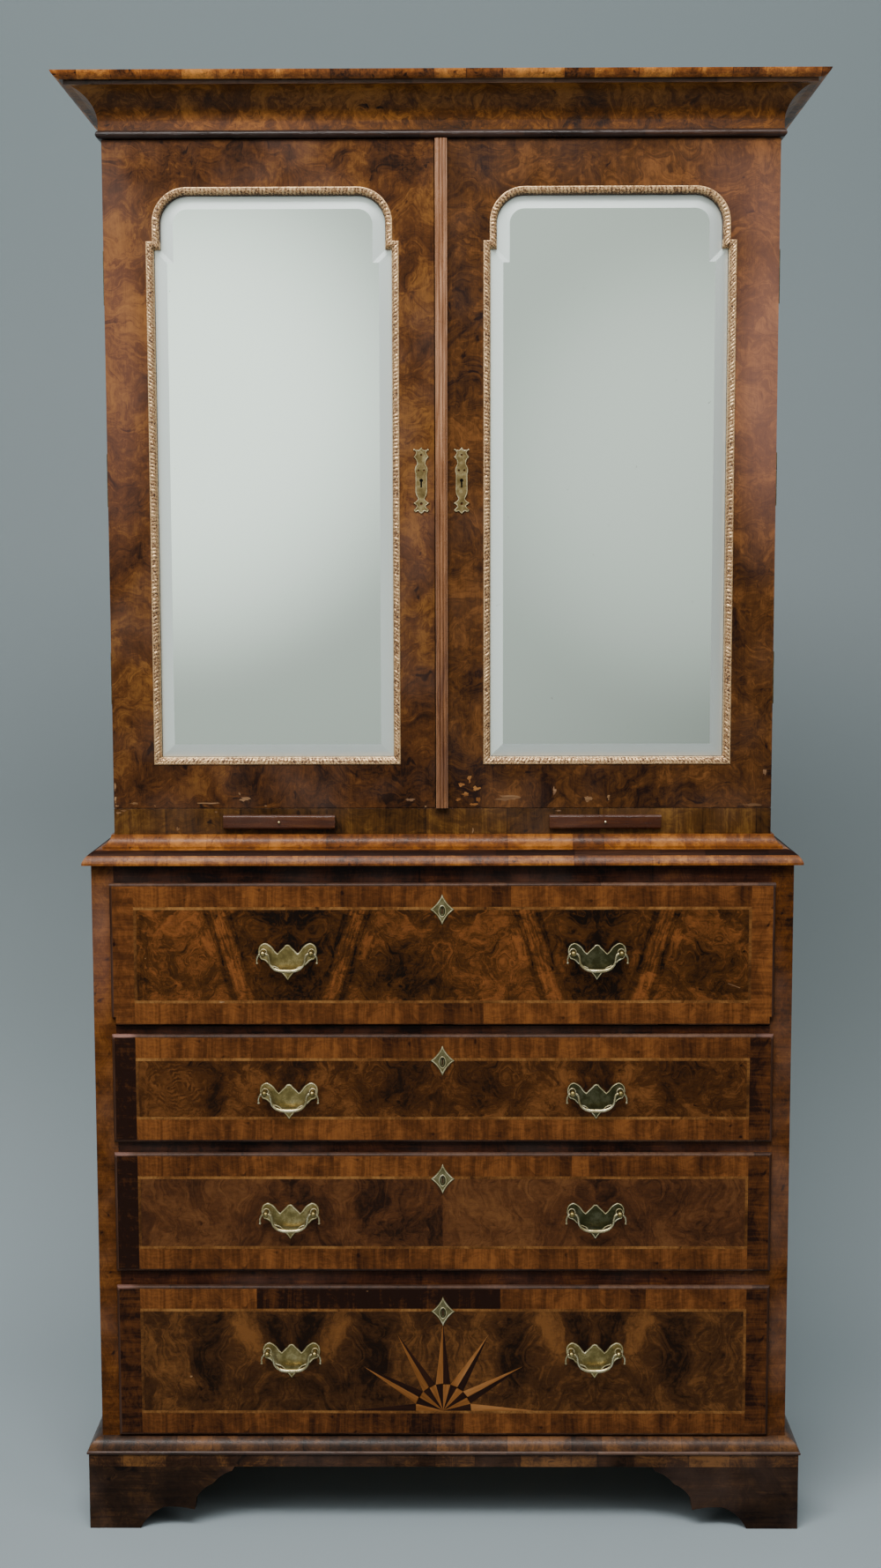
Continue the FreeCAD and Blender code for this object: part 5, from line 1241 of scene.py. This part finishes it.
def chipped(seed, middle, half_width, half_height):
    """The ragged outline of one chip."""
    chance = Random(seed)
    outline = []
    for step in range(14):
        a = 2 * pi * step / 14
        size = chance.uniform(0.3, 1.0)
        outline.append((middle[0] + half_width * size * cos(a), middle[1] + half_height * size * sin(a)))
    return outline


on_door, on_front = door_face - 0.12, lip_face / mm - 0.45
for name, body, level, stuff, slot, spots in (
        ("left_door_chips", "left_door", on_door, bare_wood, "burr_walnut", (
            (-478, 1110, 1.6, 9), (-477.6, 1090, 2.0, 8), (-476, 1081, 3.5, 2.2), (-450, 1085, 9, 2.2),
            (-336, 1085, 26, 2.0), (-288, 1091, 11, 4.0), (-47, 1090, 9, 3.2), (-420, 1081, 2.2, 2.0),
            (-258, 1081, 2.2, 2.0), (-24, 1080, 2.2, 1.6), (-296, 1099, 2.5, 2.5))),
        ("right_door_chips", "right_door", on_door, bare_wood, "burr_walnut", (
            (213, 1091, 7.5, 6.0), (243, 1093, 2.6, 6.0), (164, 1102, 3.0, 9.0), (453, 1082, 24, 3.0),
            (471, 1130, 4.0, 8.0), (97, 1092, 24, 5.0))),
        ("right_door_rubbing", "right_door", on_door + 0.02, rubbed_wood, "burr_walnut", (
            (28, 1112, 6, 4), (40, 1120, 4, 8), (50, 1106, 7, 5), (34, 1098, 8, 4), (54, 1090, 5, 7),
            (24, 1090, 5, 3), (46, 1083, 8, 3))),
        ("rail_chips", "root", on_door, bare_wood, "cross_grain_walnut", (
            (-474, 1071, 5, 2.6), (-466, 1074, 6, 1.6), (-387, 1047, 3.0, 3.5), (170, 1073.5, 7, 1.6),
            (-330, 1072, 3, 2), (45, 1044, 1.5, 5))),
        ("bottom_drawer_chips", "bottom_drawer", on_front, bare_wood, "burr_walnut", (
            (-375, 231, 2.4, 2.2), (-112, 362, 2.5, 1.2))),
        ("fall_scratches", "fall", on_front, bare_wood, "burr_walnut", (
            (-322, 797.5, 5, 1.6), (-432, 862, 1.2, 1.2)))):
    outlines = [chipped(number, (x, z), wide, tall) for number, (x, z, wide, tall) in enumerate(spots)]
    if name == "fall_scratches":
        outlines.append([(415, 824), (433, 817.5), (434, 818.2), (416, 825)])
    flat_marks(name, body, outlines, 1, level, stuff)

# Cornice
# A bead, a hollow frieze veneered in burr, and a crown of short cross-grained pieces, mitred at the
# front corners.
# The cove is lighter towards its top and darker towards its foot, painted shading of the curved hollow, with
# a painted sheen of pale pinkish light along its foot.
cove_burr = timber(
    "cornice_burr", "Z", ("1C0D05", "653A12", "A4682A"), swirl=0.040, roll=1.3, figure=0.1, fibre=0.5,
    dust_and_sheen=0.2, bloom=0.0, gloss=0.34, shine=0.2,
    marks=toned((2, 2.060, 2.090, -0.10), (2, 2.060, 2.045, 0.06)),
    painted_sheen=(((-0.30, -0.17, 2.045), (0.30, 0.12, 0.022), 0.22),
          ((0.35, -0.17, 2.045), (0.22, 0.12, 0.018), 0.12)))
crown_cross = timber(
    "crown_cross_walnut", "Z", ("341A0C", "A65E26", "FFA64A"), patch=0.045, uneven=0.6, swirl=0.02, roll=0.6,
    figure=0.4, fibre=0.4, dust_and_sheen=0.3, gloss=0.36, shine=0.2)
# The fillet under the crown is stained a pale pinkish grey: a painted highlight along it.
fillet_line = timber(
    "fillet_walnut", "X", ("24140C", "5A3A28", "8E6A50"), patch=0.2, dust_and_sheen=0.05, gloss=0.3, shine=0.3)
bead_dark = timber(
    "bead_walnut", "X", ("0E0603", "24120A", "3F2516"), patch=0.15, dust_and_sheen=0.08, gloss=0.3, shine=0.25)
dress(cove_burr, "cornice")
bead_top, fillet_foot, crown_foot = 2040.5, 2094.2, 2099.6
inlay(crown_cross, "cornice", lambda x, y, z: z > crown_foot)
inlay(fillet_line, "cornice", lambda x, y, z: fillet_foot < z < crown_foot)
inlay(bead_dark, "cornice", lambda x, y, z: z < bead_top)
